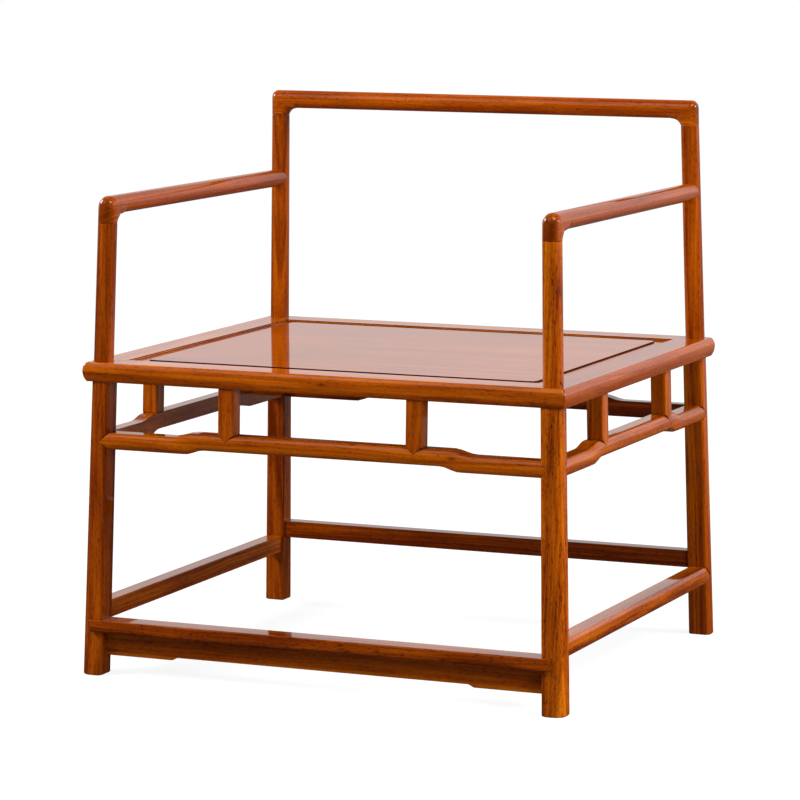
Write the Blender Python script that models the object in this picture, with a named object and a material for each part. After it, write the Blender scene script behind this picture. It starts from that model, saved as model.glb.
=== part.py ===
"""Rosewood tea chair.

A low, wide armchair of rosewood sticks. Four splayed legs pass up through the corners of a mitred
seat frame and become round posts. A crest rail and two arm rails turn down onto the posts in pipe
joints. Humpback rails, struts, stretchers, a footrest and its apron brace the legs. All pieces meet
in mortise and tenon joints, and the shoulders of the rails and struts lap onto their neighbours in
a V.

Units are metres and +Z is up. The front of the chair faces -Y. The origin is on the floor, in the
middle of the chair's outline. Touching faces keep a gap of SEAM, and each tenon has that gap all
round in its mortise.
"""

import math

import bmesh
import bpy
from mathutils import Vector

# Seat frame: four mitred rails with a rounded nose, and a groove for the panel's tongue
SEAT_WIDTH = 0.700  # outside of the frame, left to right
SEAT_DEPTH = 0.606  # outside of the frame, front to back
SEAT_HEIGHT = 0.429  # floor to the top of the frame
FRAME_THICKNESS = 0.026
FRAME_WIDTH = 0.048  # one rail, outer edge to inner edge
FRAME_ARRIS = 0.001  # softened lower inner edge
RECESS_ARRIS = 0.0005  # softened upper inner edge
NOSE_DEPTH = 0.006  # how far in over the top the nose is rounded
NOSE_CREST = 0.012  # top of the frame down to the nose's furthest point
NOSE_UNDER_RADIUS = 0.027  # the nose below its furthest point
FRAME_TENON_THICKNESS = 0.008  # tenons across the mitres
FRAME_TENON_MARGIN = 0.004  # wood left round those tenons
FRAME_TENON_COVER = 0.016  # wood left between those tenons and the outer edge

# Seat panel, sunk in the frame and raised again inside its border, and its battens
PANEL_RECESS = 0.0042  # top of the frame down to the panel's border
PANEL_THICKNESS = 0.0108  # at its border
PANEL_ARRIS = 0.0005
FIELD_RECESS = 0.001  # top of the frame down to the raised field
FIELD_BORDER = 0.019  # inner edge of the frame to the field
FIELD_CORNER_RADIUS = 0.009
TONGUE_DROP = 0.003  # top of the border down to the tongue
TONGUE_THICKNESS = 0.005
TONGUE_REACH = 0.0075  # how far the tongue runs into the frame
TONGUE_ROOM = 0.0012  # space behind the tongue, for the panel to move
BATTEN_OFFSET = 0.140  # middle of the chair to each batten
BATTEN_WIDTH = 0.030
BATTEN_HEIGHT = 0.0095
BATTEN_TENON_WIDTH = 0.018
BATTEN_TENON_THICKNESS = 0.006
BATTEN_TENON_REACH = 0.008
DOVETAIL_NECK = 0.014
DOVETAIL_WIDTH = 0.018
DOVETAIL_HEIGHT = 0.003

# Legs: square with rounded corners below the seat, round posts above it, one straight stick each
POST_INSET_X = 0.0241  # side edge of the seat frame to the post's axis, at the frame's top
POST_INSET_Y = 0.021  # front edge of the seat frame to the post's axis, at the frame's top
SPLAY_X_SHARE = 0.0258  # how far a leg leans out sideways, for what it drops
SPLAY_Y_SHARE = 0.0323  # how far it leans out to the front or the rear
FOOT_WIDTH = 0.0311  # leg, at the floor
KNEE_WIDTH = 0.0287  # leg, at the seat
FOOT_ARRIS = 0.0012
OUTER_CORNER_SHARE = 0.94  # of half the leg's width: its outer corner is almost fully round
SIDE_CORNER_RADIUS = 0.0062
INNER_CORNER_RADIUS = 0.0021
POST_RADIUS = 0.01366  # at the seat
POST_TOP_RADIUS = 0.0128  # at the crest rail
POST_TENON_WIDTH = 0.010
POST_TENON_HEIGHT = 0.016

# Crest rail and arm rails: round, turned down onto the posts
CREST_HEIGHT = 0.7542  # axis of the crest rail
CREST_RADIUS = 0.013
CREST_DROP = 0.0233  # axis down to the seam with the post
CREST_CORNER_RADIUS = 0.010  # rounding of its outer corners
CREST_FILLET_RUN = 0.016  # how far the fillets in its inner corners run along it
ARM_HEIGHT = 0.6405  # axis of an arm rail at its front
ARM_FALL = 0.0025  # how much lower its axis is at the rear post
ARM_RADIUS = 0.0126
ARM_DROP = 0.0231
ARM_CORNER_RADIUS = 0.0135
ARM_FILLET_RUN = 0.021
ELBOW_COLLAR = 0.001  # straight wood between a fillet and the seam
ELBOW_FULLNESS = 4  # exponent of an elbow's section inside its mitre, where 2 is round
ARM_TENON_HEIGHT = 0.012

# Humpback rails: rounded outside and flat inside, the middle raised
HUMPBACK_LOW = 0.3107  # floor to the underside of the low ends
HUMPBACK_RISE = 0.0065
HUMPBACK_HEIGHT = 0.0228
HUMPBACK_DEPTH = 0.026
HUMPBACK_NOSE = 0.007  # depth of the rounded outer face
HUMPBACK_SETBACK = 0.0003  # outer face of the leg back to the outer face of the rail
HUMP_HALF_X = 0.185  # middle of the chair to the start of the fall, front and rear rails
HUMP_HALF_Y = 0.148  # the same, side rails
HUMP_RUN = 0.034  # length of the fall
HUMP_LEAD = 0.013  # the fall starts this much sooner on the underside
HUMP_UNDER_RUN = 0.027  # its length there

# Struts
STRUT_WIDTH = 0.023
STRUT_SETBACK = 0.0003  # outer face of the humpback rail back to the outer face of the strut
STRUT_SPREAD_X = 0.1363  # middle of the chair to a strut, front and rear
STRUT_SPREAD_Y = 0.127  # the same, at the sides
STRUT_OUTER_RADIUS = 0.003
STRUT_INNER_RADIUS = 0.001
STRUT_V_DROP = 0.0085  # how far the V reaches down over the rail
STRUT_V_SHARE = 0.9  # of the strut's width
STRUT_TENON_WIDTH = 0.012
STRUT_TENON_REACH = 0.010

# Low stretchers
SIDE_STRETCHER_LOW = 0.0748  # floor to the underside
REAR_STRETCHER_LOW = 0.0967
STRETCHER_HEIGHT = 0.0245
STRETCHER_DEPTH = 0.026
STRETCHER_NOSE = 0.0045
STRETCHER_SETBACK = 0.001

# Footrest and its apron
FOOTREST_TOP = 0.0782
FOOTREST_THICKNESS = 0.0172
FOOTREST_OUT = 0.024  # plane of the front legs' axes to the footrest's front
FOOTREST_IN = 0.009  # the same plane back to its rear edge
FOOTREST_TOP_RADIUS = 0.0025
FOOTREST_UNDER_RADIUS = 0.005
FOOTREST_REAR_ARRIS = 0.001
EAR_RADIUS = 0.0015  # rounding of the ears' ends
FOOTREST_TENON_MARGIN = 0.003  # wood left over and under its tenons
APRON_FACE = 0.0005  # plane of the legs' axes back to the apron's face
APRON_THICKNESS = 0.008
APRON_MID_DROP = 0.0306  # underside of the footrest to the apron's lower edge, in the middle
APRON_END_DROP = 0.0344  # the same, at the ends
APRON_STEP = 0.217  # middle of the chair to the step in the lower edge
APRON_STEP_RUN = 0.010
APRON_TONGUE_THICKNESS = 0.003
APRON_TONGUE_REACH = 0.004
APRON_TONGUE_MARGIN = 0.004

# Joints
SEAM = 0.0003  # gap between touching faces
TENON_THICKNESS = 0.008
TENON_PAST_AXIS = 0.006  # how far a rail's tenon runs past the leg's axis
TENON_ROOT = 0.004  # how far a tenon's stock starts inside its own piece
RAIL_V_REACH = 0.0108  # how far a rail's V laps onto the leg
V_THICKNESS = 0.0065  # wood in front of a V's shoulder
RAIL_ARRIS = 0.0008
UPPER_TENON_SHARES = (0.56, 0.92)  # heights of a tenon in its rail, where two rails meet in a leg
LOWER_TENON_SHARES = (0.08, 0.44)
MIDDLE_TENON_SHARES = (0.22, 0.80)
OVERRUN = 0.004  # how far cutting shapes run past what they cut

# Facets
POST_STEPS = 32
ELBOW_STEPS = 3  # along each straight side of an elbow
ELBOW_CORNER_STEPS = 6  # round its outer corner
RAIL_NOSE_STEPS = 10
FALL_STEPS = 6
FRAME_NOSE_STEPS = 5
CORNER_STEPS = 3
FIELD_CORNER_STEPS = 6
SHARP_ANGLE = math.radians(28)

# Colours, as linear values: the sticks, the round rails, the seat and the plain wood of its battens
FRAME_COLOUR = (0.36, 0.085, 0.012)
ROUND_COLOUR = (0.42, 0.105, 0.014)
SEAT_COLOUR = (0.38, 0.095, 0.018)
BATTEN_COLOUR = (0.26, 0.075, 0.02)
LACQUER_ROUGHNESS = 0.28
BARE_ROUGHNESS = 0.6

POST_X = SEAT_WIDTH / 2 - POST_INSET_X
POST_Y = SEAT_DEPTH / 2 - POST_INSET_Y
FRAME_UNDERSIDE = SEAT_HEIGHT - FRAME_THICKNESS
PANEL_TOP = SEAT_HEIGHT - PANEL_RECESS
PANEL_UNDERSIDE = PANEL_TOP - PANEL_THICKNESS
FIELD_TOP = SEAT_HEIGHT - FIELD_RECESS
TONGUE_TOP = PANEL_TOP - TONGUE_DROP
TONGUE_UNDERSIDE = TONGUE_TOP - TONGUE_THICKNESS
FOOTREST_UNDERSIDE = FOOTREST_TOP - FOOTREST_THICKNESS
FOOTREST_MIDDLE = FOOTREST_TOP - FOOTREST_THICKNESS / 2
MITRE_GAP = SEAM / math.sqrt(2)


def mix(start, end, share):
    return start + (end - start) * share


def leg_half(z):
    """Half the width of a leg at a height."""
    return mix(FOOT_WIDTH, KNEE_WIDTH, z / SEAT_HEIGHT) / 2


def post_radius(z):
    return mix(POST_RADIUS, POST_TOP_RADIUS, (z - SEAT_HEIGHT) / (CREST_HEIGHT - SEAT_HEIGHT))


def stick_axis(right, rear, z):
    """Point on a leg's axis. right is 1 or -1, and so is rear."""
    drop = SEAT_HEIGHT - z
    out_x = POST_X + SPLAY_X_SHARE * drop
    out_y = POST_Y + SPLAY_Y_SHARE * drop
    return Vector((right * out_x, rear * out_y, z))


class Side:
    """One side of the chair, in directions of its own: u along it, out from the middle, and z up."""

    def __init__(self, name, along, outward):
        self.name = name
        self.along = Vector(along)
        self.outward = Vector(outward)
        across = bool(self.along.x)
        self.seat_half = (SEAT_WIDTH if across else SEAT_DEPTH) / 2
        self.seat_out = (SEAT_DEPTH if across else SEAT_WIDTH) / 2
        self.hump_half = HUMP_HALF_X if across else HUMP_HALF_Y
        self.strut_spread = STRUT_SPREAD_X if across else STRUT_SPREAD_Y
        self.tenon_shares = UPPER_TENON_SHARES if across else LOWER_TENON_SHARES

    def at(self, u, out, z):
        return self.along * u + self.outward * out + Vector((0, 0, z))

    def span(self, z):
        """Middle of the side to a leg's axis."""
        return abs(stick_axis(1, 1, z).dot(self.along))

    def plane(self, z):
        """Middle of the chair out to the plane of this side's leg axes."""
        return abs(stick_axis(1, 1, z).dot(self.outward))

    def face(self, z):
        """Middle of the side to the inner face of a leg."""
        return self.span(z) - leg_half(z)

    def leg(self, end):
        """The (right, rear) signs of the leg at an end of this side, where end is 1 or -1."""
        corner = self.along * end + self.outward
        return (round(corner.x), round(corner.y))


FRONT = Side("front", (1, 0, 0), (0, -1, 0))
REAR = Side("rear", (1, 0, 0), (0, 1, 0))
LEFT = Side("left", (0, 1, 0), (-1, 0, 0))
RIGHT = Side("right", (0, 1, 0), (1, 0, 0))
SIDES = (FRONT, REAR, LEFT, RIGHT)
ENDS = (-1, 1)


def clear_scene():
    for obj in list(bpy.data.objects):
        bpy.data.objects.remove(obj, do_unlink=True)


def loft(name, rings):
    """A closed solid through rings that have the same number of points."""
    shape = bmesh.new()
    layers = [[shape.verts.new(point) for point in ring] for ring in rings]
    for lower, upper in zip(layers, layers[1:]):
        for i in range(len(lower)):
            j = (i + 1) % len(lower)
            shape.faces.new((lower[i], lower[j], upper[j], upper[i]))
    shape.faces.new(layers[0])
    shape.faces.new(layers[-1])
    bmesh.ops.recalc_face_normals(shape, faces=shape.faces)
    mesh = bpy.data.meshes.new(name)
    shape.to_mesh(mesh)
    shape.free()
    obj = bpy.data.objects.new(name, mesh)
    bpy.context.scene.collection.objects.link(obj)
    return obj


def block(side, u_range, out_range, z_range, name="tenon"):
    """A square-edged block in a side's own directions."""
    corners = ((0, 0), (1, 0), (1, 1), (0, 1))
    return loft(name, [[side.at(u, out_range[i], z_range[j]) for i, j in corners] for u in u_range])


def plate(side, outline, out_range, name="shoulder"):
    """An outline of (u, z) points, given thickness outwards."""
    return loft(name, [[side.at(u, out, z) for u, z in outline] for out in out_range])


def combine(obj, tool, operation):
    """Cuts the tool from the object or joins it on, keeps the result as its mesh and drops the tool."""
    modifier = obj.modifiers.new("joint", "BOOLEAN")
    modifier.operation = operation
    modifier.solver = "EXACT"
    modifier.object = tool
    bpy.context.view_layer.update()
    graph = bpy.context.evaluated_depsgraph_get()
    result = bpy.data.meshes.new_from_object(obj.evaluated_get(graph))
    obj.modifiers.remove(modifier)
    used = (obj.data, tool.data)
    obj.data = result
    bpy.data.objects.remove(tool, do_unlink=True)
    for mesh in used:
        bpy.data.meshes.remove(mesh)


def cut(obj, tool):
    combine(obj, tool, "DIFFERENCE")


def join(obj, tool):
    combine(obj, tool, "UNION")


def arc(centre, radii, start, end, steps):
    """Points on an arc of an ellipse. Angles are in quarter turns from the first axis."""
    points = []
    for i in range(steps + 1):
        angle = math.radians(90) * mix(start, end, i / steps)
        points.append((centre[0] + radii[0] * math.cos(angle), centre[1] + radii[1] * math.sin(angle)))
    return points


def leg_outline(half):
    """Section of a leg as (p, q), where p and q point away from the chair's middle."""
    outer = half * OUTER_CORNER_SHARE
    radii = (outer, SIDE_CORNER_RADIUS, INNER_CORNER_RADIUS, SIDE_CORNER_RADIUS)
    steps = (POST_STEPS // 4, CORNER_STEPS, CORNER_STEPS, CORNER_STEPS)
    points = []
    for quarter, (radius, count) in enumerate(zip(radii, steps)):
        p_sign = 1 if quarter in (0, 3) else -1
        q_sign = 1 if quarter in (0, 1) else -1
        centre = (p_sign * (half - radius), q_sign * (half - radius))
        points += arc(centre, (radius, radius), quarter, quarter + 1, count)
    return points


def leg_ring(leg, z, half):
    right, rear = leg
    axis = stick_axis(right, rear, z)
    return [axis + Vector((right * p, rear * q, 0)) for p, q in leg_outline(half)]


def leg_stock(leg, grow=0):
    """The square part of a leg, from the floor to its shoulder under the seat frame."""
    shoulder = FRAME_UNDERSIDE - SEAM
    rings = [leg_ring(leg, 0, leg_half(0) - FOOT_ARRIS + grow)]
    rings += [leg_ring(leg, z, leg_half(z) + grow) for z in (FOOT_ARRIS, shoulder)]
    return loft("leg", rings)


def post_stock(leg, z_range, grow=0):
    """A stretch of the round post."""
    rings = []
    for z in z_range:
        axis = stick_axis(*leg, z)
        radius = post_radius(z) + grow
        circle = arc((0, 0), (radius, radius), 0, 4, POST_STEPS)[:-1]
        rings.append([axis + Vector((p, q, 0)) for p, q in circle])
    return loft("post", rings)


def post_tenon(leg, z_range, grow=0):
    """The square tenon on top of a post."""
    half = POST_TENON_WIDTH / 2 + grow
    corners = ((-half, -half), (half, -half), (half, half), (-half, half))
    rings = [[stick_axis(*leg, z) + Vector((p, q, 0)) for p, q in corners] for z in z_range]
    return loft("tenon", rings)


def post_top(leg):
    """Height of the seam on top of a post."""
    if leg[1] > 0:
        return CREST_HEIGHT - CREST_DROP
    return ARM_HEIGHT - ARM_DROP


def make_leg(leg):
    """One straight stick: a square leg, its shoulder under the seat, a round post and its tenon."""
    right, rear = leg
    obj = leg_stock(leg)
    top = post_top(leg) - SEAM
    join(obj, post_stock(leg, (FRAME_UNDERSIDE - FRAME_THICKNESS, top)))
    join(obj, post_tenon(leg, (top - TENON_ROOT, top + POST_TENON_HEIGHT)))
    for side in SIDES:
        for end in ENDS:
            if side.leg(end) == leg:
                cut_leg_joints(obj, side, end)
    if rear > 0:
        cut(obj, arm_tenon(RIGHT if right > 0 else LEFT, SEAM))
    name = f"leg_{'rear' if rear > 0 else 'front'}_{'right' if right > 0 else 'left'}"
    return finish(obj, name, FRAME_COLOUR)


class Rail:
    """A rail between two legs of one side: its heights, its depth and how it meets the legs."""

    def __init__(self, side, low, height, depth, nose, setback, rise, tenon_shares):
        self.side = side
        self.nose = nose
        self.low = low
        self.high = low + height
        self.middle = low + height / 2
        self.rise = rise
        self.plane = side.plane(self.middle)
        self.outer = self.plane + leg_half(self.middle) - setback
        self.inner = self.outer - depth
        self.v_back = self.outer - V_THICKNESS
        self.tenon = [mix(self.low, self.high, share) for share in tenon_shares]
        self.tip = side.face(self.middle) + RAIL_V_REACH

    def outline(self, low, high):
        """Section as (out, z) points: flat inside, top and bottom, and rounded outside."""
        centre = (self.outer - self.nose, (high + low) / 2)
        points = arc(centre, (self.nose, (high - low) / 2), -1, 1, RAIL_NOSE_STEPS)
        points += [(self.inner + RAIL_ARRIS, high), (self.inner, high - RAIL_ARRIS)]
        points += [(self.inner, low + RAIL_ARRIS), (self.inner + RAIL_ARRIS, low)]
        return points

    def lift(self, u, start, run):
        """How far the hump lifts an edge of the rail at u. Its fall begins at start and takes run."""
        share = min(max((start + run - abs(u)) / run, 0), 1)
        return self.rise * (1 - math.cos(math.pi * share)) / 2

    def ring(self, u):
        low = self.low + self.lift(u, self.side.hump_half - HUMP_LEAD, HUMP_UNDER_RUN)
        high = self.high + self.lift(u, self.side.hump_half, HUMP_RUN)
        return [self.side.at(u, out, z) for out, z in self.outline(low, high)]

    def stations(self):
        """Places along the rail where its section is set."""
        places = [self.tip + OVERRUN]
        if self.rise:
            start = self.side.hump_half + HUMP_RUN
            run = HUMP_RUN + HUMP_LEAD
            places += [start - run * i / FALL_STEPS for i in range(FALL_STEPS + 1)]
        return [-u for u in places] + places[::-1]

    def v_outline(self, end, grow):
        """The V that laps onto the leg, as a triangle that starts inside the gap before the leg."""
        tip = self.tip + grow / math.sin(math.atan2(self.high - self.middle, RAIL_V_REACH))
        slope = (self.high - self.middle) / RAIL_V_REACH
        start = self.side.face(self.middle) - OVERRUN
        half = slope * (tip - start)
        roots = [(end * start, self.middle + half), (end * start, self.middle - half)]
        return [(end * tip, self.middle)] + roots

    def tenon_block(self, end, grow=0):
        """The tenon, or its mortise where grow is the clearance round it."""
        half = TENON_THICKNESS / 2 + grow
        start = self.side.face(self.middle) - TENON_ROOT
        stop = self.side.span(self.middle) + TENON_PAST_AXIS + grow
        out_range = (self.plane - half, self.plane + half)
        z_range = (self.tenon[0] - grow, self.tenon[1] + grow)
        return block(self.side, (end * start, end * stop), out_range, z_range)

    def cut_shoulders(self, obj, end):
        """Trims an end to the leg: a V in front, and behind it a square shoulder."""
        over = self.high + OVERRUN
        under = self.low - OVERRUN
        slope = RAIL_V_REACH / (self.high - self.middle)
        far = self.tip + OVERRUN + OVERRUN
        faces = [self.side.face(z) - slope * OVERRUN for z in (self.high, self.low)]
        waste = [(faces[0], over), (self.tip, self.middle), (faces[1], under), (far, under), (far, over)]
        out_range = (self.inner - OVERRUN, self.outer + OVERRUN)
        cut(obj, plate(self.side, [(end * u, z) for u, z in waste], out_range))
        shoulders = [self.side.face(z) - SEAM for z in (over, under)]
        waste = [(shoulders[0], over), (shoulders[1], under), (far, under), (far, over)]
        cut(obj, plate(self.side, [(end * u, z) for u, z in waste], (out_range[0], self.v_back)))

    def make(self, name):
        obj = loft(name, [self.ring(u) for u in self.stations()])
        for end in ENDS:
            self.cut_shoulders(obj, end)
            join(obj, self.tenon_block(end))
        return obj

    def cut_from_leg(self, leg_obj, end):
        """The V-shaped recess and the mortise for this rail in the leg."""
        out_range = (self.v_back - SEAM, self.outer + OVERRUN)
        cut(leg_obj, plate(self.side, self.v_outline(end, SEAM), out_range))
        cut(leg_obj, self.tenon_block(end, SEAM))


def humpback(side):
    size = (HUMPBACK_LOW, HUMPBACK_HEIGHT, HUMPBACK_DEPTH)
    return Rail(side, *size, HUMPBACK_NOSE, HUMPBACK_SETBACK, HUMPBACK_RISE, side.tenon_shares)


def stretcher(side):
    low = REAR_STRETCHER_LOW if side is REAR else SIDE_STRETCHER_LOW
    size = (low, STRETCHER_HEIGHT, STRETCHER_DEPTH)
    return Rail(side, *size, STRETCHER_NOSE, STRETCHER_SETBACK, 0, MIDDLE_TENON_SHARES)


def cut_leg_joints(leg_obj, side, end):
    """Everything that one side's pieces need in the leg at one of its ends."""
    humpback(side).cut_from_leg(leg_obj, end)
    if side is FRONT:
        cut(leg_obj, footrest_tenon(end, SEAM))
        cut(leg_obj, apron_end_tongue(end, SEAM))
    else:
        stretcher(side).cut_from_leg(leg_obj, end)


class Strut:
    """A short upright between a humpback rail and the seat frame, leaning with its side's legs."""

    def __init__(self, side, end):
        self.side = side
        self.rail = humpback(side)
        self.centre = end * side.strut_spread
        self.low = self.rail.high + self.rail.rise
        self.face_out = self.rail.outer - self.rail.plane - STRUT_SETBACK
        self.v_half = STRUT_WIDTH * STRUT_V_SHARE / 2
        self.v_back = self.rail.v_back

    def ring(self, z):
        half = STRUT_WIDTH / 2
        middle = self.side.plane(z) + self.face_out - half
        points = []
        for quarter in range(4):
            u_sign = 1 if quarter in (0, 3) else -1
            out_sign = 1 if quarter in (0, 1) else -1
            radius = STRUT_OUTER_RADIUS if out_sign > 0 else STRUT_INNER_RADIUS
            centre = (u_sign * (half - radius), out_sign * (half - radius))
            points += arc(centre, (radius, radius), quarter, quarter + 1, CORNER_STEPS)
        return [self.side.at(self.centre + u, middle + out, z) for u, out in points]

    def foot_outline(self, base, tip, bottom):
        """Waste below the strut's foot as (u, z): all that lies outside its V."""
        far = STRUT_WIDTH
        shape = [(-far, base), (-self.v_half, base), (0, tip), (self.v_half, base), (far, base)]
        return [(self.centre + u, z) for u, z in shape + [(far, bottom), (-far, bottom)]]

    def notch_outline(self):
        """The V that the rail is notched with, SEAM wider all round."""
        slope = STRUT_V_DROP / self.v_half
        tip = self.low - STRUT_V_DROP - SEAM * math.hypot(1, slope)
        top = self.low + OVERRUN
        half = (top - tip) / slope
        return [(self.centre, tip), (self.centre + half, top), (self.centre - half, top)]

    def tenon_block(self, z_range, grow=0):
        half = STRUT_TENON_WIDTH / 2 + grow
        thick = TENON_THICKNESS / 2 + grow
        plane = self.side.plane(sum(z_range) / 2)
        u_range = (self.centre - half, self.centre + half)
        return block(self.side, u_range, (plane - thick, plane + thick), z_range)

    def upper_tenon(self, grow=0):
        top = FRAME_UNDERSIDE + STRUT_TENON_REACH + grow
        return self.tenon_block((FRAME_UNDERSIDE - TENON_ROOT, top), grow)

    def lower_tenon(self, grow=0):
        bottom = self.low - STRUT_TENON_REACH - grow
        return self.tenon_block((bottom, self.low + TENON_ROOT), grow)

    def make(self, name):
        base = self.low + SEAM
        tip = self.low - STRUT_V_DROP
        bottom = tip - OVERRUN
        obj = loft(name, [self.ring(z) for z in (tip - SEAM, FRAME_UNDERSIDE - SEAM)])
        behind = (self.rail.inner - OVERRUN, self.v_back)
        through = (behind[0], self.rail.outer + OVERRUN)
        cut(obj, plate(self.side, self.foot_outline(base, tip, bottom), through))
        reach = (self.centre - STRUT_WIDTH, self.centre + STRUT_WIDTH)
        cut(obj, block(self.side, reach, behind, (bottom, base)))
        join(obj, self.upper_tenon())
        join(obj, self.lower_tenon())
        return finish(obj, name, FRAME_COLOUR)

    def cut_from_rail(self, rail_obj):
        out_range = (self.v_back - SEAM, self.rail.outer + OVERRUN)
        cut(rail_obj, plate(self.side, self.notch_outline(), out_range))
        cut(rail_obj, self.lower_tenon(SEAM))


def end_name(side, end):
    """Which end of a side this is, in words."""
    if side in (FRONT, REAR):
        return "right" if end > 0 else "left"
    return "rear" if end > 0 else "front"


def make_humpback_rail(side):
    name = f"humpback_rail_{side.name}"
    obj = humpback(side).make(name)
    for end in ENDS:
        Strut(side, end).cut_from_rail(obj)
    return finish(obj, name, FRAME_COLOUR)


def make_stretcher(side):
    name = f"stretcher_{side.name}"
    return finish(stretcher(side).make(name), name, FRAME_COLOUR)


def frame_outline():
    """Section of a seat rail, as (inset from the outer edge, height) points."""
    top = SEAT_HEIGHT
    crest = top - NOSE_CREST
    under = math.asin((FRAME_THICKNESS - NOSE_CREST) / NOSE_UNDER_RADIUS) / math.radians(90)
    centre = (NOSE_UNDER_RADIUS, crest)
    points = arc((NOSE_DEPTH, crest), (-NOSE_DEPTH, NOSE_CREST), 1, 0, FRAME_NOSE_STEPS)
    points += arc(centre, (-NOSE_UNDER_RADIUS, -NOSE_UNDER_RADIUS), 0, under, FRAME_NOSE_STEPS)[1:]
    groove = (TONGUE_UNDERSIDE - SEAM, TONGUE_TOP + SEAM)
    groove_inset = FRAME_WIDTH - TONGUE_REACH - TONGUE_ROOM
    points += [(FRAME_WIDTH - FRAME_ARRIS, FRAME_UNDERSIDE)]
    points += [(FRAME_WIDTH, FRAME_UNDERSIDE + FRAME_ARRIS)]
    points += [(FRAME_WIDTH, groove[0]), (groove_inset, groove[0])]
    points += [(groove_inset, groove[1]), (FRAME_WIDTH, groove[1])]
    points += [(FRAME_WIDTH, top - RECESS_ARRIS), (FRAME_WIDTH - RECESS_ARRIS, top)]
    return points


def frame_tenon(side, end, grow=0):
    """The tenon on a front or rear rail that crosses the mitre into a side rail, inside the post."""
    outer = side.seat_out - POST_INSET_Y - POST_RADIUS - FRAME_TENON_MARGIN
    inner = side.seat_out - FRAME_WIDTH + FRAME_TENON_MARGIN
    low = FRAME_UNDERSIDE + FRAME_TENON_MARGIN
    root = side.seat_half - FRAME_WIDTH - TENON_ROOT
    stop = side.seat_half - FRAME_TENON_COVER + grow
    z_range = (low - grow, low + FRAME_TENON_THICKNESS + grow)
    return block(side, (end * root, end * stop), (inner - grow, outer + grow), z_range)


def make_seat_rail(side):
    """A mitred rail of the seat frame, with bores for its posts and mortises for what meets it."""
    name = f"seat_rail_{side.name}"
    rings = []
    for end in ENDS:
        ring = []
        for inset, z in frame_outline():
            mitre = side.seat_half - inset - MITRE_GAP
            ring.append(side.at(end * mitre, side.seat_out - inset, z))
        rings.append(ring)
    obj = loft(name, rings)
    for end in ENDS:
        if side in (FRONT, REAR):
            join(obj, frame_tenon(side, end))
            cut(obj, batten_tenon(end, side.outward.y, SEAM))
        else:
            cut(obj, frame_tenon(REAR if end > 0 else FRONT, round(side.outward.x), SEAM))
        bore = (FRAME_UNDERSIDE - OVERRUN, SEAT_HEIGHT + OVERRUN)
        cut(obj, post_stock(side.leg(end), bore, SEAM))
        cut(obj, Strut(side, end).upper_tenon(SEAM))
    return finish(obj, name, SEAT_COLOUR)


def panel_field():
    """The raised field of the panel, with rounded corners, from inside the board to its own top."""
    radius = FIELD_CORNER_RADIUS
    centre = Vector((SEAT_WIDTH, SEAT_DEPTH)) / 2 - Vector((1, 1)) * (FRAME_WIDTH + FIELD_BORDER + radius)
    layers = ((0, TONGUE_TOP), (0, FIELD_TOP - PANEL_ARRIS), (PANEL_ARRIS, FIELD_TOP))
    rings = []
    for inset, z in layers:
        size = (radius - inset, radius - inset)
        ring = []
        for quarter, (x, y) in enumerate(((1, 1), (-1, 1), (-1, -1), (1, -1))):
            middle = (x * centre.x, y * centre.y)
            ring += arc(middle, size, quarter, quarter + 1, FIELD_CORNER_STEPS)
        rings.append([Vector((x, y, z)) for x, y in ring])
    return loft("field", rings)


def make_seat_panel():
    """The board of the seat: a tongue all round, a raised field and dovetailed grooves for its battens."""
    board = Vector((SEAT_WIDTH, SEAT_DEPTH)) / 2 - Vector((1, 1)) * (FRAME_WIDTH + SEAM)
    tongue = board + Vector((1, 1)) * TONGUE_REACH
    top = board - Vector((1, 1)) * PANEL_ARRIS
    layers = (
        (board, PANEL_UNDERSIDE),
        (board, TONGUE_UNDERSIDE),
        (tongue, TONGUE_UNDERSIDE),
        (tongue, TONGUE_TOP),
        (board, TONGUE_TOP),
        (board, PANEL_TOP - PANEL_ARRIS),
        (top, PANEL_TOP),
    )
    corners = ((-1, -1), (1, -1), (1, 1), (-1, 1))
    rings = [[Vector((x * half.x, y * half.y, z)) for x, y in corners] for half, z in layers]
    obj = loft("seat_panel", rings)
    join(obj, panel_field())
    for end in ENDS:
        cut(obj, dovetail(end, SEAM))
    return finish(obj, "seat_panel", SEAT_COLOUR)


def dovetail(end, grow):
    """The groove in the panel that a batten slides into."""
    middle = end * BATTEN_OFFSET
    neck = DOVETAIL_NECK / 2 + grow
    wide = DOVETAIL_WIDTH / 2 + grow
    flare = (wide - neck) / DOVETAIL_HEIGHT * OVERRUN
    low = PANEL_UNDERSIDE - OVERRUN
    high = PANEL_UNDERSIDE + DOVETAIL_HEIGHT + grow
    outline = [(-neck + flare, low), (neck - flare, low), (wide, high), (-wide, high)]
    half = SEAT_DEPTH / 2
    rings = [[Vector((middle + x, rear * half, z)) for x, z in outline] for rear in ENDS]
    return loft("dovetail", rings)


def batten_tenon(end, rear, grow=0):
    """A batten's tenon in the front or rear rail, where rear is 1 or -1."""
    middle = end * BATTEN_OFFSET
    half = BATTEN_TENON_WIDTH / 2 + grow
    wall = SEAT_DEPTH / 2 - FRAME_WIDTH
    z_middle = PANEL_UNDERSIDE - SEAM - BATTEN_HEIGHT / 2
    thick = BATTEN_TENON_THICKNESS / 2 + grow
    out_range = (wall - TENON_ROOT, wall + BATTEN_TENON_REACH + grow)
    side = REAR if rear > 0 else FRONT
    return block(side, (middle - half, middle + half), out_range, (z_middle - thick, z_middle + thick))


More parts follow.
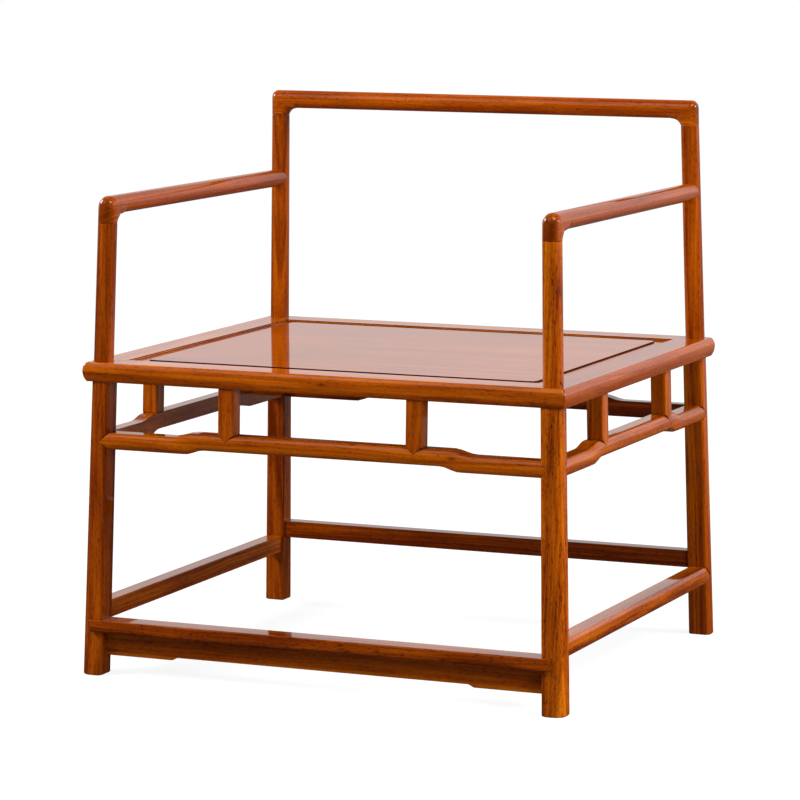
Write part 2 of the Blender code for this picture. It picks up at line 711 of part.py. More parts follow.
def make_seat_batten(end):
    """A batten across the panel's grain, dovetailed into the panel and tenoned into the frame."""
    top = PANEL_UNDERSIDE - SEAM
    low = top - BATTEN_HEIGHT
    half = BATTEN_WIDTH / 2
    neck = DOVETAIL_NECK / 2
    wide = DOVETAIL_WIDTH / 2
    tail = PANEL_UNDERSIDE + DOVETAIL_HEIGHT
    outline = [(-half, low), (half, low), (half, top), (neck, top), (wide, tail)]
    outline += [(-wide, tail), (-neck, top), (-half, top)]
    length = SEAT_DEPTH / 2 - FRAME_WIDTH - SEAM
    middle = end * BATTEN_OFFSET
    rings = [[Vector((middle + x, rear * length, z)) for x, z in outline] for rear in ENDS]
    name = f"seat_batten_{'right' if end > 0 else 'left'}"
    obj = loft(name, rings)
    for rear in ENDS:
        join(obj, batten_tenon(end, rear))
    return finish(obj, name, BATTEN_COLOUR, BARE_ROUGHNESS)


def elbow_turns(bend, far):
    """Angles of an elbow's sections, from the rail round to the post, closer together at its corner."""
    corner = (math.atan2(bend[0], far[1]), math.atan2(far[0], bend[1]))
    turns = [corner[0] * i / ELBOW_STEPS for i in range(ELBOW_STEPS)]
    turns += [mix(*corner, i / ELBOW_CORNER_STEPS) for i in range(ELBOW_CORNER_STEPS)]
    turns += [mix(corner[1], math.radians(90), i / ELBOW_STEPS) for i in range(ELBOW_STEPS + 1)]
    return turns


def elbow(corner, inward, sideways, radii, lean, drop, corner_radius, fillet_run):
    """Rings of a pipe joint, from the straight rail down to the seam with the post.

    The sections fan out from the centre of the inner fillet, which is a quarter of an ellipse. Their
    outer halves follow the round rail, the rounded corner and the round post. Their inner halves
    touch the fillet, and are squarer at the mitre. radii are those of the rail and the post's end.
    """
    up = Vector((0, 0, 1))
    rail_radius, end_radius = radii
    fillet = (fillet_run, drop - rail_radius - ELBOW_COLLAR)
    near = [size + rail_radius for size in fillet]
    far = [size + rail_radius for size in near]
    bend = [size - corner_radius for size in far]
    pivot = corner + inward * near[0] - up * near[1]
    turns = elbow_turns(bend, far)
    rings = []
    for i, turn in enumerate(turns):
        sine, cosine = math.sin(turn), math.cos(turn)
        across = up * cosine - inward * sine
        middle = 1 / max(sine / near[0], cosine / near[1])
        inner = 1 / math.hypot(sine / fillet[0], cosine / fillet[1])
        reach = 1 / max(sine / far[0], cosine / far[1])
        if min(reach * sine - bend[0], reach * cosine - bend[1]) > 0:
            along = bend[0] * sine + bend[1] * cosine
            reach = along + math.sqrt(along**2 - math.hypot(*bend) ** 2 + corner_radius**2)
        radius = mix(rail_radius, end_radius, i / (len(turns) - 1))
        swell = radius / rail_radius
        shift = lean * (corner.z - (pivot + across * middle).z)
        fullness = mix(2, ELBOW_FULLNESS, math.sin(2 * turn))
        ring = []
        for p, q in arc((0, 0), (1, 1), 0, 4, POST_STEPS)[:-1]:
            if p > 0:
                size = radius
                place = middle + p * (reach - middle) * swell
            else:
                size = radius / (abs(p) ** fullness + abs(q) ** fullness) ** (1 / fullness)
                place = mix(inner + rail_radius, middle, 1 + p) + p * size
            ring.append(pivot + across * place + sideways * (q * size) + shift)
        rings.append(ring)
    fall = drop - near[1]
    slide = lean * fall - up * fall
    rings.append([point + slide for point in rings[-1]])
    return rings


def splay(leg):
    """How a leg's axis moves outwards for each metre that it drops."""
    return Vector((leg[0] * SPLAY_X_SHARE, leg[1] * SPLAY_Y_SHARE, 0))


def make_crest_rail():
    """The round rail over the back, turned down onto the rear posts."""
    rings = []
    for right in ENDS:
        leg = (right, 1)
        corner = stick_axis(*leg, CREST_HEIGHT)
        radii = (CREST_RADIUS, post_radius(CREST_HEIGHT - CREST_DROP))
        inward = Vector((-right, 0, 0))
        sideways = Vector((0, 1, 0))
        sizes = (CREST_DROP, CREST_CORNER_RADIUS, CREST_FILLET_RUN)
        turned = elbow(corner, inward, sideways, radii, splay(leg), *sizes)
        rings += turned if right > 0 else turned[::-1]
    obj = loft("crest_rail", rings)
    for right in ENDS:
        seam = CREST_HEIGHT - CREST_DROP
        cut(obj, post_tenon((right, 1), (seam - OVERRUN, seam + POST_TENON_HEIGHT + SEAM), SEAM))
    return finish(obj, "crest_rail", ROUND_COLOUR)


def arm_tenon(side, grow=0):
    """The tenon at the rear of an arm rail."""
    z = ARM_HEIGHT - ARM_FALL
    half = TENON_THICKNESS / 2 + grow
    tall = ARM_TENON_HEIGHT / 2 + grow
    plane = side.plane(z)
    start = side.span(z) - post_radius(z) - TENON_ROOT
    stop = side.span(z) + TENON_PAST_AXIS + grow
    return block(side, (start, stop), (plane - half, plane + half), (z - tall, z + tall))


def make_arm_rail(side):
    """A round arm, turned down onto the front post and coped round the rear post."""
    name = f"arm_rail_{side.name}"
    right = round(side.outward.x)
    front, rear = (right, -1), (right, 1)
    corner = stick_axis(*front, ARM_HEIGHT)
    radii = (ARM_RADIUS, post_radius(ARM_HEIGHT - ARM_DROP))
    sideways = Vector((1, 0, 0))
    sizes = (ARM_DROP, ARM_CORNER_RADIUS, ARM_FILLET_RUN)
    turned = elbow(corner, side.along, sideways, radii, splay(front), *sizes)
    end = stick_axis(*rear, ARM_HEIGHT - ARM_FALL)
    circle = arc((0, 0), (ARM_RADIUS, ARM_RADIUS), 0, 4, POST_STEPS)[:-1]
    last = [end + Vector((0, 0, p)) + sideways * q for p, q in circle]
    obj = loft(name, turned[::-1] + [last])
    reach = ARM_RADIUS + OVERRUN
    cut(obj, post_stock(rear, (end.z - reach, end.z + reach), SEAM))
    join(obj, arm_tenon(side))
    seam = ARM_HEIGHT - ARM_DROP
    cut(obj, post_tenon(front, (seam - OVERRUN, seam + POST_TENON_HEIGHT + SEAM), SEAM))
    return finish(obj, name, ROUND_COLOUR)


def footrest_ring(u, out):
    """Section of the footrest at u, with its rounded nose at out."""
    plane = FRONT.plane(FOOTREST_MIDDLE)
    low, high = FOOTREST_UNDERSIDE, FOOTREST_TOP
    upper, under = FOOTREST_TOP_RADIUS, FOOTREST_UNDER_RADIUS
    inner = plane - FOOTREST_IN
    points = arc((out - under, low + under), (under, under), -1, 0, CORNER_STEPS)
    points += arc((out - upper, high - upper), (upper, upper), 0, 1, CORNER_STEPS)
    points += [(inner + FOOTREST_REAR_ARRIS, high), (inner, high - FOOTREST_REAR_ARRIS), (inner, low)]
    return [FRONT.at(u, place, z) for place, z in points]


def footrest_tenon(end, grow=0):
    half = TENON_THICKNESS / 2 + grow
    plane = FRONT.plane(FOOTREST_MIDDLE)
    start = FRONT.face(FOOTREST_MIDDLE) - TENON_ROOT
    stop = FRONT.span(FOOTREST_MIDDLE) + TENON_PAST_AXIS + grow
    low = FOOTREST_UNDERSIDE + FOOTREST_TENON_MARGIN - grow
    high = FOOTREST_TOP - FOOTREST_TENON_MARGIN + grow
    return block(FRONT, (end * start, end * stop), (plane - half, plane + half), (low, high))


def make_footrest():
    """The footrest: a board tenoned between the legs, whose rounded nose laps in front of them."""
    out = FRONT.plane(FOOTREST_MIDDLE) + FOOTREST_OUT
    ear = FRONT.span(FOOTREST_MIDDLE)
    corner = arc((ear - EAR_RADIUS, out - EAR_RADIUS), (EAR_RADIUS, EAR_RADIUS), 0, 1, CORNER_STEPS)
    rings = [footrest_ring(-u, place) for u, place in corner]
    rings += [footrest_ring(u, place) for u, place in corner[::-1]]
    obj = loft("footrest", rings)
    for end in ENDS:
        cut(obj, leg_stock(FRONT.leg(end), SEAM))
        join(obj, footrest_tenon(end))
    cut(obj, apron_top_tongue(SEAM))
    return finish(obj, "footrest", FRAME_COLOUR)


def apron_low(u):
    """Lower edge of the apron: a little higher in the middle than at the ends."""
    share = min(max((APRON_STEP + APRON_STEP_RUN / 2 - abs(u)) / APRON_STEP_RUN, 0), 1)
    drop = mix(APRON_END_DROP, APRON_MID_DROP, (1 - math.cos(math.pi * share)) / 2)
    return FOOTREST_UNDERSIDE - drop


def apron_middle():
    """Middle of the apron's thickness, measured out from the chair's middle."""
    return FRONT.plane(FOOTREST_UNDERSIDE) - APRON_FACE - APRON_THICKNESS / 2


def apron_top_tongue(grow=0):
    """The tongue on the apron's top edge, let into the footrest's underside."""
    half = APRON_TONGUE_THICKNESS / 2 + grow
    middle = apron_middle()
    stop = FRONT.face(FOOTREST_UNDERSIDE) - APRON_TONGUE_MARGIN - TENON_ROOT + grow
    low = FOOTREST_UNDERSIDE - APRON_TONGUE_MARGIN
    high = FOOTREST_UNDERSIDE + APRON_TONGUE_REACH + grow
    return block(FRONT, (-stop, stop), (middle - half, middle + half), (low, high))


def apron_end_tongue(end, grow=0):
    """The tongue on an end of the apron, let into the leg."""
    half = APRON_TONGUE_THICKNESS / 2 + grow
    middle = apron_middle()
    low = FOOTREST_UNDERSIDE - APRON_END_DROP + APRON_TONGUE_MARGIN - grow
    high = FOOTREST_UNDERSIDE - APRON_TONGUE_MARGIN + grow
    face = FRONT.face((low + high) / 2)
    u_range = (end * (face - TENON_ROOT), end * (face + APRON_TONGUE_REACH + grow))
    return block(FRONT, u_range, (middle - half, middle + half), (low, high))


def make_footrest_apron():
    """The board under the footrest, tongued into it and into the legs."""
    top = FOOTREST_UNDERSIDE - SEAM
    middle = apron_middle()
    out_range = (middle - APRON_THICKNESS / 2, middle + APRON_THICKNESS / 2)
    start = APRON_STEP + APRON_STEP_RUN / 2
    places = [start - APRON_STEP_RUN * i / FALL_STEPS for i in range(FALL_STEPS + 1)]
    low_end = apron_low(start)
    ends = (FRONT.face(low_end) - SEAM, FRONT.face(top) - SEAM)
    edge = [(ends[0], low_end)] + [(u, apron_low(u)) for u in places]
    upper = [(ends[1], top)] + [(u, top) for u in places]
    stations = [((-a[0], a[1]), (-b[0], b[1])) for a, b in zip(edge, upper)]
    stations += list(zip(edge, upper))[::-1]
    outs = out_range + out_range[::-1]
    rings = []
    for low, high in stations:
        rings.append([FRONT.at(u, out, z) for (u, z), out in zip((low, low, high, high), outs)])
    obj = loft("footrest_apron", rings)
    join(obj, apron_top_tongue())
    for end in ENDS:
        join(obj, apron_end_tongue(end))
    return finish(obj, "footrest_apron", FRAME_COLOUR)


def rosewood(name, colour, roughness):
    material = bpy.data.materials.new(name)
    material.use_nodes = True
    shader = material.node_tree.nodes["Principled BSDF"]
    shader.inputs["Base Color"].default_value = (*colour, 1)
    shader.inputs["Roughness"].default_value = roughness
    shader.inputs["Metallic"].default_value = 0
    return material


def finish(obj, name, colour, roughness=LACQUER_ROUGHNESS):
    """Names a piece, shades it smooth between its arrises and gives it its own wood."""
    obj.name = name
    obj.data.name = name
    obj.data.shade_smooth()
    obj.data.set_sharp_from_angle(angle=SHARP_ANGLE)
    obj.data.materials.clear()
    obj.data.materials.append(rosewood(name, colour, roughness))
    return obj


def make_chair():
    pieces = [make_leg((right, rear)) for rear in ENDS for right in ENDS]
    pieces += [make_seat_rail(side) for side in SIDES]
    pieces.append(make_seat_panel())
    pieces += [make_seat_batten(end) for end in ENDS]
    pieces += [make_humpback_rail(side) for side in SIDES]
    for side in SIDES:
        pieces += [Strut(side, end).make(f"strut_{side.name}_{end_name(side, end)}") for end in ENDS]
    pieces += [make_stretcher(side) for side in (REAR, LEFT, RIGHT)]
    pieces.append(make_footrest())
    pieces.append(make_footrest_apron())
    pieces.append(make_crest_rail())
    pieces += [make_arm_rail(side) for side in (LEFT, RIGHT)]
    return pieces


def centre_chair(pieces):
    """Hangs all pieces on an empty that sets the middle of their outline over the origin."""
    front = FRONT.plane(FOOTREST_MIDDLE) + FOOTREST_OUT
    rear = REAR.plane(FOOT_ARRIS) + leg_half(FOOT_ARRIS)
    chair = bpy.data.objects.new("chair", None)
    bpy.context.scene.collection.objects.link(chair)
    chair.location.y = (front - rear) / 2
    for piece in pieces:
        piece.parent = chair


clear_scene()
centre_chair(make_chair())
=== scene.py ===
# %% [markdown]
# # A rosewood tea chair
#
# This lesson gives a finished model of a chair its looks. The model holds each stick of the chair as
# one closed solid, at its real size and in its real place. We call it the frame. Here we make finer
# pieces that take the place of its solids, and give them wood, lacquer and light.
#
# All lengths are in metres, +Z is up, and the front of the chair faces -Y.

# %% Open the frame
import math

import bmesh
import bpy
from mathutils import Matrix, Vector


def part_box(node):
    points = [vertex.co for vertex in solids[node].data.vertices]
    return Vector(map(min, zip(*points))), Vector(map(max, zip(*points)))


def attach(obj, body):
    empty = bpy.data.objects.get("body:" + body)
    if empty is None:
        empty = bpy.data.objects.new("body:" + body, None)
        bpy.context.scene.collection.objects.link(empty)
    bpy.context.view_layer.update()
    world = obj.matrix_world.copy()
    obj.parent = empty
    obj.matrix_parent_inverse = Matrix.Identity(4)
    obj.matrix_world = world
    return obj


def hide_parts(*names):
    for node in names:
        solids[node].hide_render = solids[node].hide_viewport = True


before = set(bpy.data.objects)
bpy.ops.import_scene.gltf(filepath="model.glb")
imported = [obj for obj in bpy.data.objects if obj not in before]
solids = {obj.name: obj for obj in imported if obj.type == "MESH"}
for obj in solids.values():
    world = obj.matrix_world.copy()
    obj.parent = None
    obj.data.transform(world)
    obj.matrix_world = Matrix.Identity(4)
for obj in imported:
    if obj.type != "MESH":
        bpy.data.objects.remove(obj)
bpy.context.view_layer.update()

print(len(solids), "solids")

# %% [markdown]
# ## The camera
#
# A chair like this is shown from a little above the seat, and a little from its right. A long lens
# keeps the splayed legs honest, because a short one would lean them further. The camera is aimed at
# a point, and its place follows from two angles and a distance.

# %% Aim the camera
CAMERA_AZIMUTH = math.radians(23.225)  # how far round to the chair's right
CAMERA_ELEVATION = math.radians(7.943)
CAMERA_DISTANCE = 5.32762
CAMERA_TARGET = Vector((-0.01016, 0.0031, 0.35729))
LENS = 172.107  # millimetres
SENSOR = 36.0


def add_object(name, data):
    """Puts a camera, a lamp or a mesh into the scene."""
    thing = bpy.data.objects.new(name, data)
    bpy.context.scene.collection.objects.link(thing)
    return thing


camera = bpy.data.cameras.new("camera")
camera.lens = LENS
camera.sensor_width = SENSOR
viewer = add_object("camera", camera)
level = math.cos(CAMERA_ELEVATION)
ahead = -math.cos(CAMERA_AZIMUTH) * level
sight = Vector((math.sin(CAMERA_AZIMUTH) * level, ahead, math.sin(CAMERA_ELEVATION)))
viewer.location = CAMERA_TARGET + sight * CAMERA_DISTANCE
viewer.rotation_euler = sight.to_track_quat("Z", "Y").to_euler()
bpy.context.scene.camera = viewer
bpy.context.scene.view_settings.view_transform = "Standard"
print("camera at", [round(value, 3) for value in viewer.location])

# %% [markdown]
# ## Sums as nodes
#
# A shape or a grain that follows a rule needs many small sums inside a node tree. Laid down one
# node at a time they are hard to read. A Field is a value in a tree, and adding or multiplying
# Fields lays down the Math nodes, so that a rule reads as it would on paper. One helper adds any
# other node, with its settings and with what goes into it.

# %% Fields, and the functions on them
class Field:
    """A number in a node tree."""

    def __init__(self, socket):
        self.socket = socket

    def math(self, operation, *others):
        return math_node(operation, self, *others)

    def __add__(self, other):
        return self.math("ADD", other)

    __radd__ = __add__

    def __sub__(self, other):
        return self.math("SUBTRACT", other)

    def __rsub__(self, other):
        return math_node("SUBTRACT", other, self)

    def __mul__(self, other):
        return self.math("MULTIPLY", other)

    def __truediv__(self, other):
        return self.math("DIVIDE", other)

    def __rtruediv__(self, other):
        return math_node("DIVIDE", other, self)


def feed(socket, value):
    """Links a socket to a socket, or sets a plain value on it."""
    if isinstance(value, bpy.types.NodeSocket):
        socket.id_data.links.new(value, socket)
    else:
        socket.default_value = value


def add_node(kind, inputs=(), tree=None, **settings):
    """Adds a node. inputs says what goes into which socket, by its name or number.

    The node joins the tree of what goes into it. Where nothing does, the tree has to be said.
    """
    inputs = dict(inputs)
    for socket, value in inputs.items():
        if isinstance(value, Field):
            inputs[socket] = value.socket
    if tree is None:
        sources = [value for value in inputs.values() if isinstance(value, bpy.types.NodeSocket)]
        tree = sources[0].id_data
    node = tree.nodes.new(kind)
    for setting, value in settings.items():
        setattr(node, setting, value)
    for socket, value in inputs.items():
        feed(node.inputs[socket], value)
    return node


def math_node(operation, *values):
    node = add_node("ShaderNodeMath", enumerate(values), operation=operation)
    return Field(node.outputs[0])


def hypotenuse(first, second):
    return (first.math("POWER", 2.0) + second.math("POWER", 2.0)).math("SQRT")


def vector_node(operation, *vectors, output=0):
    node = add_node("ShaderNodeVectorMath", enumerate(vectors), operation=operation)
    return node.outputs[output]


def vector_number(operation, *vectors):
    """A number that is made of vectors, such as a length or a dot product."""
    return Field(vector_node(operation, *vectors, output=1))


def scaled(vector, number):
    inputs = {"Vector": vector, "Scale": number}
    return add_node("ShaderNodeVectorMath", inputs, operation="SCALE").outputs[0]


def summed(*vectors):
    total = vectors[0]
    for vector in vectors[1:]:
        total = vector_node("ADD", total, vector)
    return total


def fields_of(node, *labels):
    """Some outputs of a node, as Fields. One that is a vector is only passed on."""
    return [Field(node.outputs[label]) for label in labels]


def parts_of(vector):
    """The three numbers of a vector."""
    return fields_of(add_node("ShaderNodeSeparateXYZ", {0: vector}), *"XYZ")


def vector_of(*numbers):
    return add_node("ShaderNodeCombineXYZ", enumerate(numbers)).outputs[0]


def upwards(height):
    return vector_of(0.0, 0.0, height)


def new_tree(name, kind, inputs, outputs):
    """A node group and its input node. inputs and outputs are the names of sockets, by type."""
    tree = bpy.data.node_groups.new(name, kind)
    for in_out, sockets in (("INPUT", inputs), ("OUTPUT", outputs)):
        for socket_type, labels in sockets.items():
            for label in labels:
                tree.interface.new_socket(label, in_out=in_out, socket_type="NodeSocket" + socket_type)
    return tree, add_node("NodeGroupInput", tree=tree)


print("Fields are ready")

# %% [markdown]
# ## The studio
#
# The chair stands on a plain pale floor with nothing but white behind it. Large soft lamps light it
# from above and from both sides, so that a round post is darker in the middle than on its flanks.
# What the lacquer mirrors matters as much. Behind the chair it mirrors white, so that the seat
# shines. In front it mirrors a dark room and one soft box, so that the front keeps its colour.
#
# The floor tells rays apart. The camera sees it white, with a soft shadow. The lacquer sees it grow
# paler with its distance. All other rays find a plain floor, whose light comes back from below.

# %% Floor
FLOOR_HALF = 14.0
FLOOR_NEAR = 0.88  # what the camera sees of the floor by the chair, in deep shadow
FLOOR_FAR = 1.0  # and what it sees further off
FLOOR_FADE = (0.6, 3.0)  # how far off the one ends and the other begins
FLOOR_SHADE = 0.17  # how much the light on it adds to that
FLOOR_BOUNCE = 0.25  # its colour for the light that comes back from it
MIRROR_BACK = 0.77  # what the lacquer mirrors of the studio at the far end
MIRROR_FLOOR = 0.36  # and of the floor there
MIRROR_FRONT = 0.03  # and in front
MIRROR_DEPTH = 4.2  # how far behind the chair the mirrored floor is palest


def shader_tree(owner):
    owner.use_nodes = True
    owner.node_tree.nodes.clear()
    return owner.node_tree


def emission(strength):
    return add_node("ShaderNodeEmission", {"Strength": strength}).outputs[0]


def ramp_between(value, low, high, start, stop):
    """A value that climbs from start to stop while another goes from low to high."""
    inputs = enumerate((value, low, high, start, stop))
    node = add_node("ShaderNodeMapRange", inputs, interpolation_type="SMOOTHSTEP")
    return Field(node.outputs[0])


def mixed(share, first, second):
    return add_node("ShaderNodeMixShader", enumerate((share, first, second))).outputs[0]


def plain(tree, grey):
    return add_node("ShaderNodeBsdfDiffuse", {"Color": (grey, grey, grey, 1)}, tree).outputs[0]


floor_look = bpy.data.materials.new("floor")
tree = shader_tree(floor_look)
rays = add_node("ShaderNodeLightPath", tree=tree)
place = add_node("ShaderNodeTexCoord", tree=tree).outputs["Object"]
distance = vector_number("LENGTH", place)
glow = emission(ramp_between(distance, *FLOOR_FADE, FLOOR_NEAR, FLOOR_FAR))
both = add_node("ShaderNodeAddShader", {0: glow, 1: plain(tree, FLOOR_SHADE)}).outputs[0]
seen = mixed(rays.outputs["Is Camera Ray"], plain(tree, FLOOR_BOUNCE), both)
behind = parts_of(place)[1]
mirrored = ramp_between(behind, 0.0, MIRROR_DEPTH, MIRROR_FRONT, MIRROR_FLOOR)
look = mixed(rays.outputs["Is Glossy Ray"], seen, emission(mirrored))
add_node("ShaderNodeOutputMaterial", {"Surface": look})

shape = bmesh.new()
bmesh.ops.create_grid(shape, x_segments=1, y_segments=1, size=FLOOR_HALF)
mesh = bpy.data.meshes.new("floor")
shape.to_mesh(mesh)
shape.free()
mesh.materials.append(floor_look)
floor = add_object("floor", mesh)
print("floor,", 2 * FLOOR_HALF, "m square")

# %% Walls of light
AMBIENT = 0.10
WALL_EDGES = (-0.3, 0.3)  # the dark room in front ends at the first, the white wall begins at the second
WALL_HEIGHTS = (0.34, 0.60)  # the wall fades upwards between these
WALL_TOP = 0.12  # the share of it that is left above them
SOFT_BOX = 0.85  # how bright the lacquer mirrors the soft box in front, and where
SOFT_BOX_HEADING = (-0.33, -0.58, 0.74)
SOFT_BOX_EDGES = (0.92, 0.98)  # cosine of the angle from its middle: where it ends, where it is full

world = bpy.data.worlds.new("studio")
bpy.context.scene.world = world
tree = shader_tree(world)
rays = add_node("ShaderNodeLightPath", tree=tree)
heading = add_node("ShaderNodeTexCoord", tree=tree).outputs["Generated"]
_, rearward, upward = parts_of(heading)
wall = ramp_between(rearward, *WALL_EDGES, MIRROR_FRONT, MIRROR_BACK)
wall = wall * ramp_between(upward, *WALL_HEIGHTS, 1, WALL_TOP)
box = vector_number("DOT_PRODUCT", heading, SOFT_BOX_HEADING)
mirrored = wall + ramp_between(box, *SOFT_BOX_EDGES, 0, SOFT_BOX)
glossy, camera_ray = fields_of(rays, "Is Glossy Ray", "Is Camera Ray")
strength = camera_ray + glossy * mirrored + (1 - camera_ray) * (1 - glossy) * AMBIENT
white = {"Color": (1, 1, 1, 1), "Strength": strength}
background = add_node("ShaderNodeBackground", white)
add_node("ShaderNodeOutputWorld", {"Surface": background.outputs[0]})
print("white behind the chair, dark in front")

# %% Lamps
LAMPS = (
    # name, place, width, height, watts
    ("overhead", (0.0, 0.1, 2.7), 2.2, 1.6, 36),
    ("right", (2.42, 0.43, 1.94), 0.9, 1.2, 90),
    ("low_right", (2.65, -1.50, 1.05), 1.0, 1.0, 44),
    ("left", (-1.99, -1.45, 1.94), 0.9, 1.2, 92),
)
LAMP_TARGET = Vector((0, 0, 0.4))


def add_lamp(name, spot, width, height, watts):
    lamp = bpy.data.lights.new(name, "AREA")
    lamp.shape = "RECTANGLE"
    lamp.size = width
    lamp.size_y = height
    lamp.energy = watts
    holder = add_object(name, lamp)
    holder.location = spot
    holder.rotation_euler = (Vector(spot) - LAMP_TARGET).to_track_quat("Z", "Y").to_euler()
    print(name, "lamp,", watts, "W")
    return holder


for name, spot, width, height, watts in LAMPS:
    add_lamp(name, spot, width, height, watts).visible_glossy = False

# %% [markdown]
# Lacquer on a tight curve shows each lamp as a small bright dot. Three lamps give those dots at the
# elbows and corners. Only mirrored rays see them, so that they add no light to the wood.

# %% Glints
GLINT_DISTANCE = 3.0
GLINTS = (
    # name, heading from the chair, size, watts
    ("glint_left", (-0.862, -0.076, 0.500), 1.25, 45),
    ("glint_top", (0.519, -0.269, 0.812), 1.4, 32),
    ("glint_right", (0.910, 0.168, 0.380), 0.8, 22),
)

for name, heading, size, watts in GLINTS:
    bulb = add_lamp(name, LAMP_TARGET + Vector(heading) * GLINT_DISTANCE, size, size, watts)
    bulb.data.shape = "DISK"
    bulb.visible_diffuse = bulb.visible_camera = False

# %% [markdown]
# ## Where the posts and the seat are
#
# Wood, corners and bent sticks all need a few places on the chair: the axes of the four posts, and
# the rectangle of the seat. Each post leans outwards by a fixed share of what it drops. These sizes
# are those of the model, and the middle of its seat says where it stands.

# %% The plan of the chair
SEAT_HEIGHT = 0.429
SEAT_X = 0.350  # middle of the seat to its edge
SEAT_Y = 0.303
FRAME_WIDTH = 0.048  # the seat's frame, from its edge to its panel
POST_X = 0.3259  # middle of the seat to a post's axis, at the seat
POST_Y = 0.282
LEAN_X = 0.0258  # how far a post leans out for each metre that it drops
LEAN_Y = 0.0323
SEAM = 0.0003
CREST_HEIGHT = 0.7542
POST_RADII = (0.01366, 0.0128)  # at the seat and at the crest rail

panel_low, panel_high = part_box("seat_panel")
MIDDLE_Y = (panel_low.y + panel_high.y) / 2


def post_axis(right, rear, z):
    """A point on a post's axis. right is 1 or -1, and so is rear."""
    drop = SEAT_HEIGHT - z
    return Vector((right * (POST_X + LEAN_X * drop), MIDDLE_Y + rear * (POST_Y + LEAN_Y * drop), z))


def post_radius(z):
    share = (z - SEAT_HEIGHT) / (CREST_HEIGHT - SEAT_HEIGHT)
    return POST_RADII[0] + (POST_RADII[1] - POST_RADII[0]) * share


print("the seat's middle is at y =", round(MIDDLE_Y, 5))

# %% [markdown]
# ## Rosewood
#
# Rosewood is an orange brown wood with darker growth lines, short dark pores and here and there a
# small knot. The grain is a pattern in the wood's whole body, not only on its skin, so that it has
# to run on over an edge. For that reason it is worked out from a point's place in the log.
#
# The rings of the log are a pattern of the distance from its pith. A slow noise bends them first.
# The group's X runs along the grain. Each stick reads it at another place in the log, so that no
# two sticks are alike.

# %% Noise and colour as nodes
def noise(vector, scale, detail=2.0, roughness=0.5):
    """3-D noise of a place, stretched by scale: another amount along the grain than across it."""
    place = vector_node("MULTIPLY", vector, scale)
    inputs = {"Vector": place, "Scale": 1, "Detail": detail, "Roughness": roughness}
    return add_node("ShaderNodeTexNoise", inputs)


def speckle(vector, *settings):
    """The same noise as a number."""
    return Field(noise(vector, *settings).outputs[0])


def line_noise(distance, scale, detail):
    """Noise along one line: lines of uneven width."""
    inputs = {"W": distance * scale, "Scale": 1, "Detail": detail, "Roughness": 0.6}
    return Field(add_node("ShaderNodeTexNoise", inputs, noise_dimensions="1D").outputs[0])


def colour_ramp(value, stops):
    node = add_node("ShaderNodeValToRGB", {0: value})
    marks = node.color_ramp.elements
    while len(marks) < len(stops):
        marks.new(0.5)
    for mark, (position, colour) in zip(marks, stops):
        mark.position = position
        mark.color = (*colour, 1)
    return node.outputs[0]


def mix_colour(share, first, second):
    inputs = {0: share, 6: first, 7: (*second, 1)}
    return add_node("ShaderNodeMix", inputs, data_type="RGBA").outputs[2]


print("noise and colour are ready")

# %% Where a point lies in the log
PITH = (0.055, 0.045)  # where the pith lies across the grain
BENDS = (
    # waves in a metre along and across the grain, detail, how far the rings are bent
    ((2.0, 8, 8), 1.5, 0.008),
    ((14, 90, 90), 2, 0.0010),
)


def bent(straight):
    """A place in the log, moved by a slow and a fine noise."""
    place = straight
    for waves, detail, size in BENDS:
        offset = noise(straight, waves, detail).outputs["Color"]
        offset = vector_node("SUBTRACT", offset, (0.5, 0.5, 0.5))
        offset = vector_node("MULTIPLY", offset, (0, size * 2, size * 2))
        place = vector_node("ADD", place, offset)
    return place


def from_pith(place):
    _, y, z = parts_of(place)
    return hypotenuse(y - PITH[0], z - PITH[1])


print("the pith lies at", PITH)

# %% [markdown]
# Four noises make the tone of the wood. Broad bands and fine lines follow the rings. Streaks and a
# mottle follow the fibres. Their sum picks a colour, from dark wood to pale wood.

# %% Bands, lines, streaks and mottle
BANDS = (60, 1.5)  # waves in a metre away from the pith, and detail
LINES = (300, 2.5)
LINES_START = 0.37  # keeps the lines from following the bands
MOTTLE = ((7, 42, 42), 2.5)  # waves in a metre along and across the grain, and detail
STREAKS = ((5, 230, 230), 2.5, 0.6)
BAND_SHARE = 0.40
LINE_SHARE = 0.32
STREAK_SHARE = 0.36
MOTTLE_SHARE = 0.30
SUM_OFFSET = 0.19  # brings the middle of their sum back to the middle tone
MIDDLE_TONE = 0.5
DARK_WOOD = (0.120, 0.0145, 0.0005)
VEIN_WOOD = (0.050, 0.0055, 0.0004)
WOODS = (
    # tone, colour
    (0.28, DARK_WOOD),
    (0.40, (0.235, 0.037, 0.0006)),
    (0.50, (0.335, 0.0615, 0.0008)),
    (0.61, (0.45, 0.096, 0.0010)),
    (0.74, (0.57, 0.145, 0.003)),
)


def tone_of(place, across, lines):
    """How pale the wood is at a place. across is its distance from the pith."""
    bands = line_noise(across, *BANDS)
    streaks = speckle(place, *STREAKS)
    mottle = speckle(place, *MOTTLE)
    tone = bands * BAND_SHARE + lines * LINE_SHARE + streaks * STREAK_SHARE + mottle * MOTTLE_SHARE
    return tone - SUM_OFFSET


print(len(WOODS), "colours of wood")

# %% [markdown]
# Darker marks lie over that. A vein is a thin line along a ring, in a few spots only. Dashes are
# the long vessels of the wood, which crowd where it is dark. Pores are the short ones. A cell
# pattern, of which only a few cells are chosen, gives the small knots.

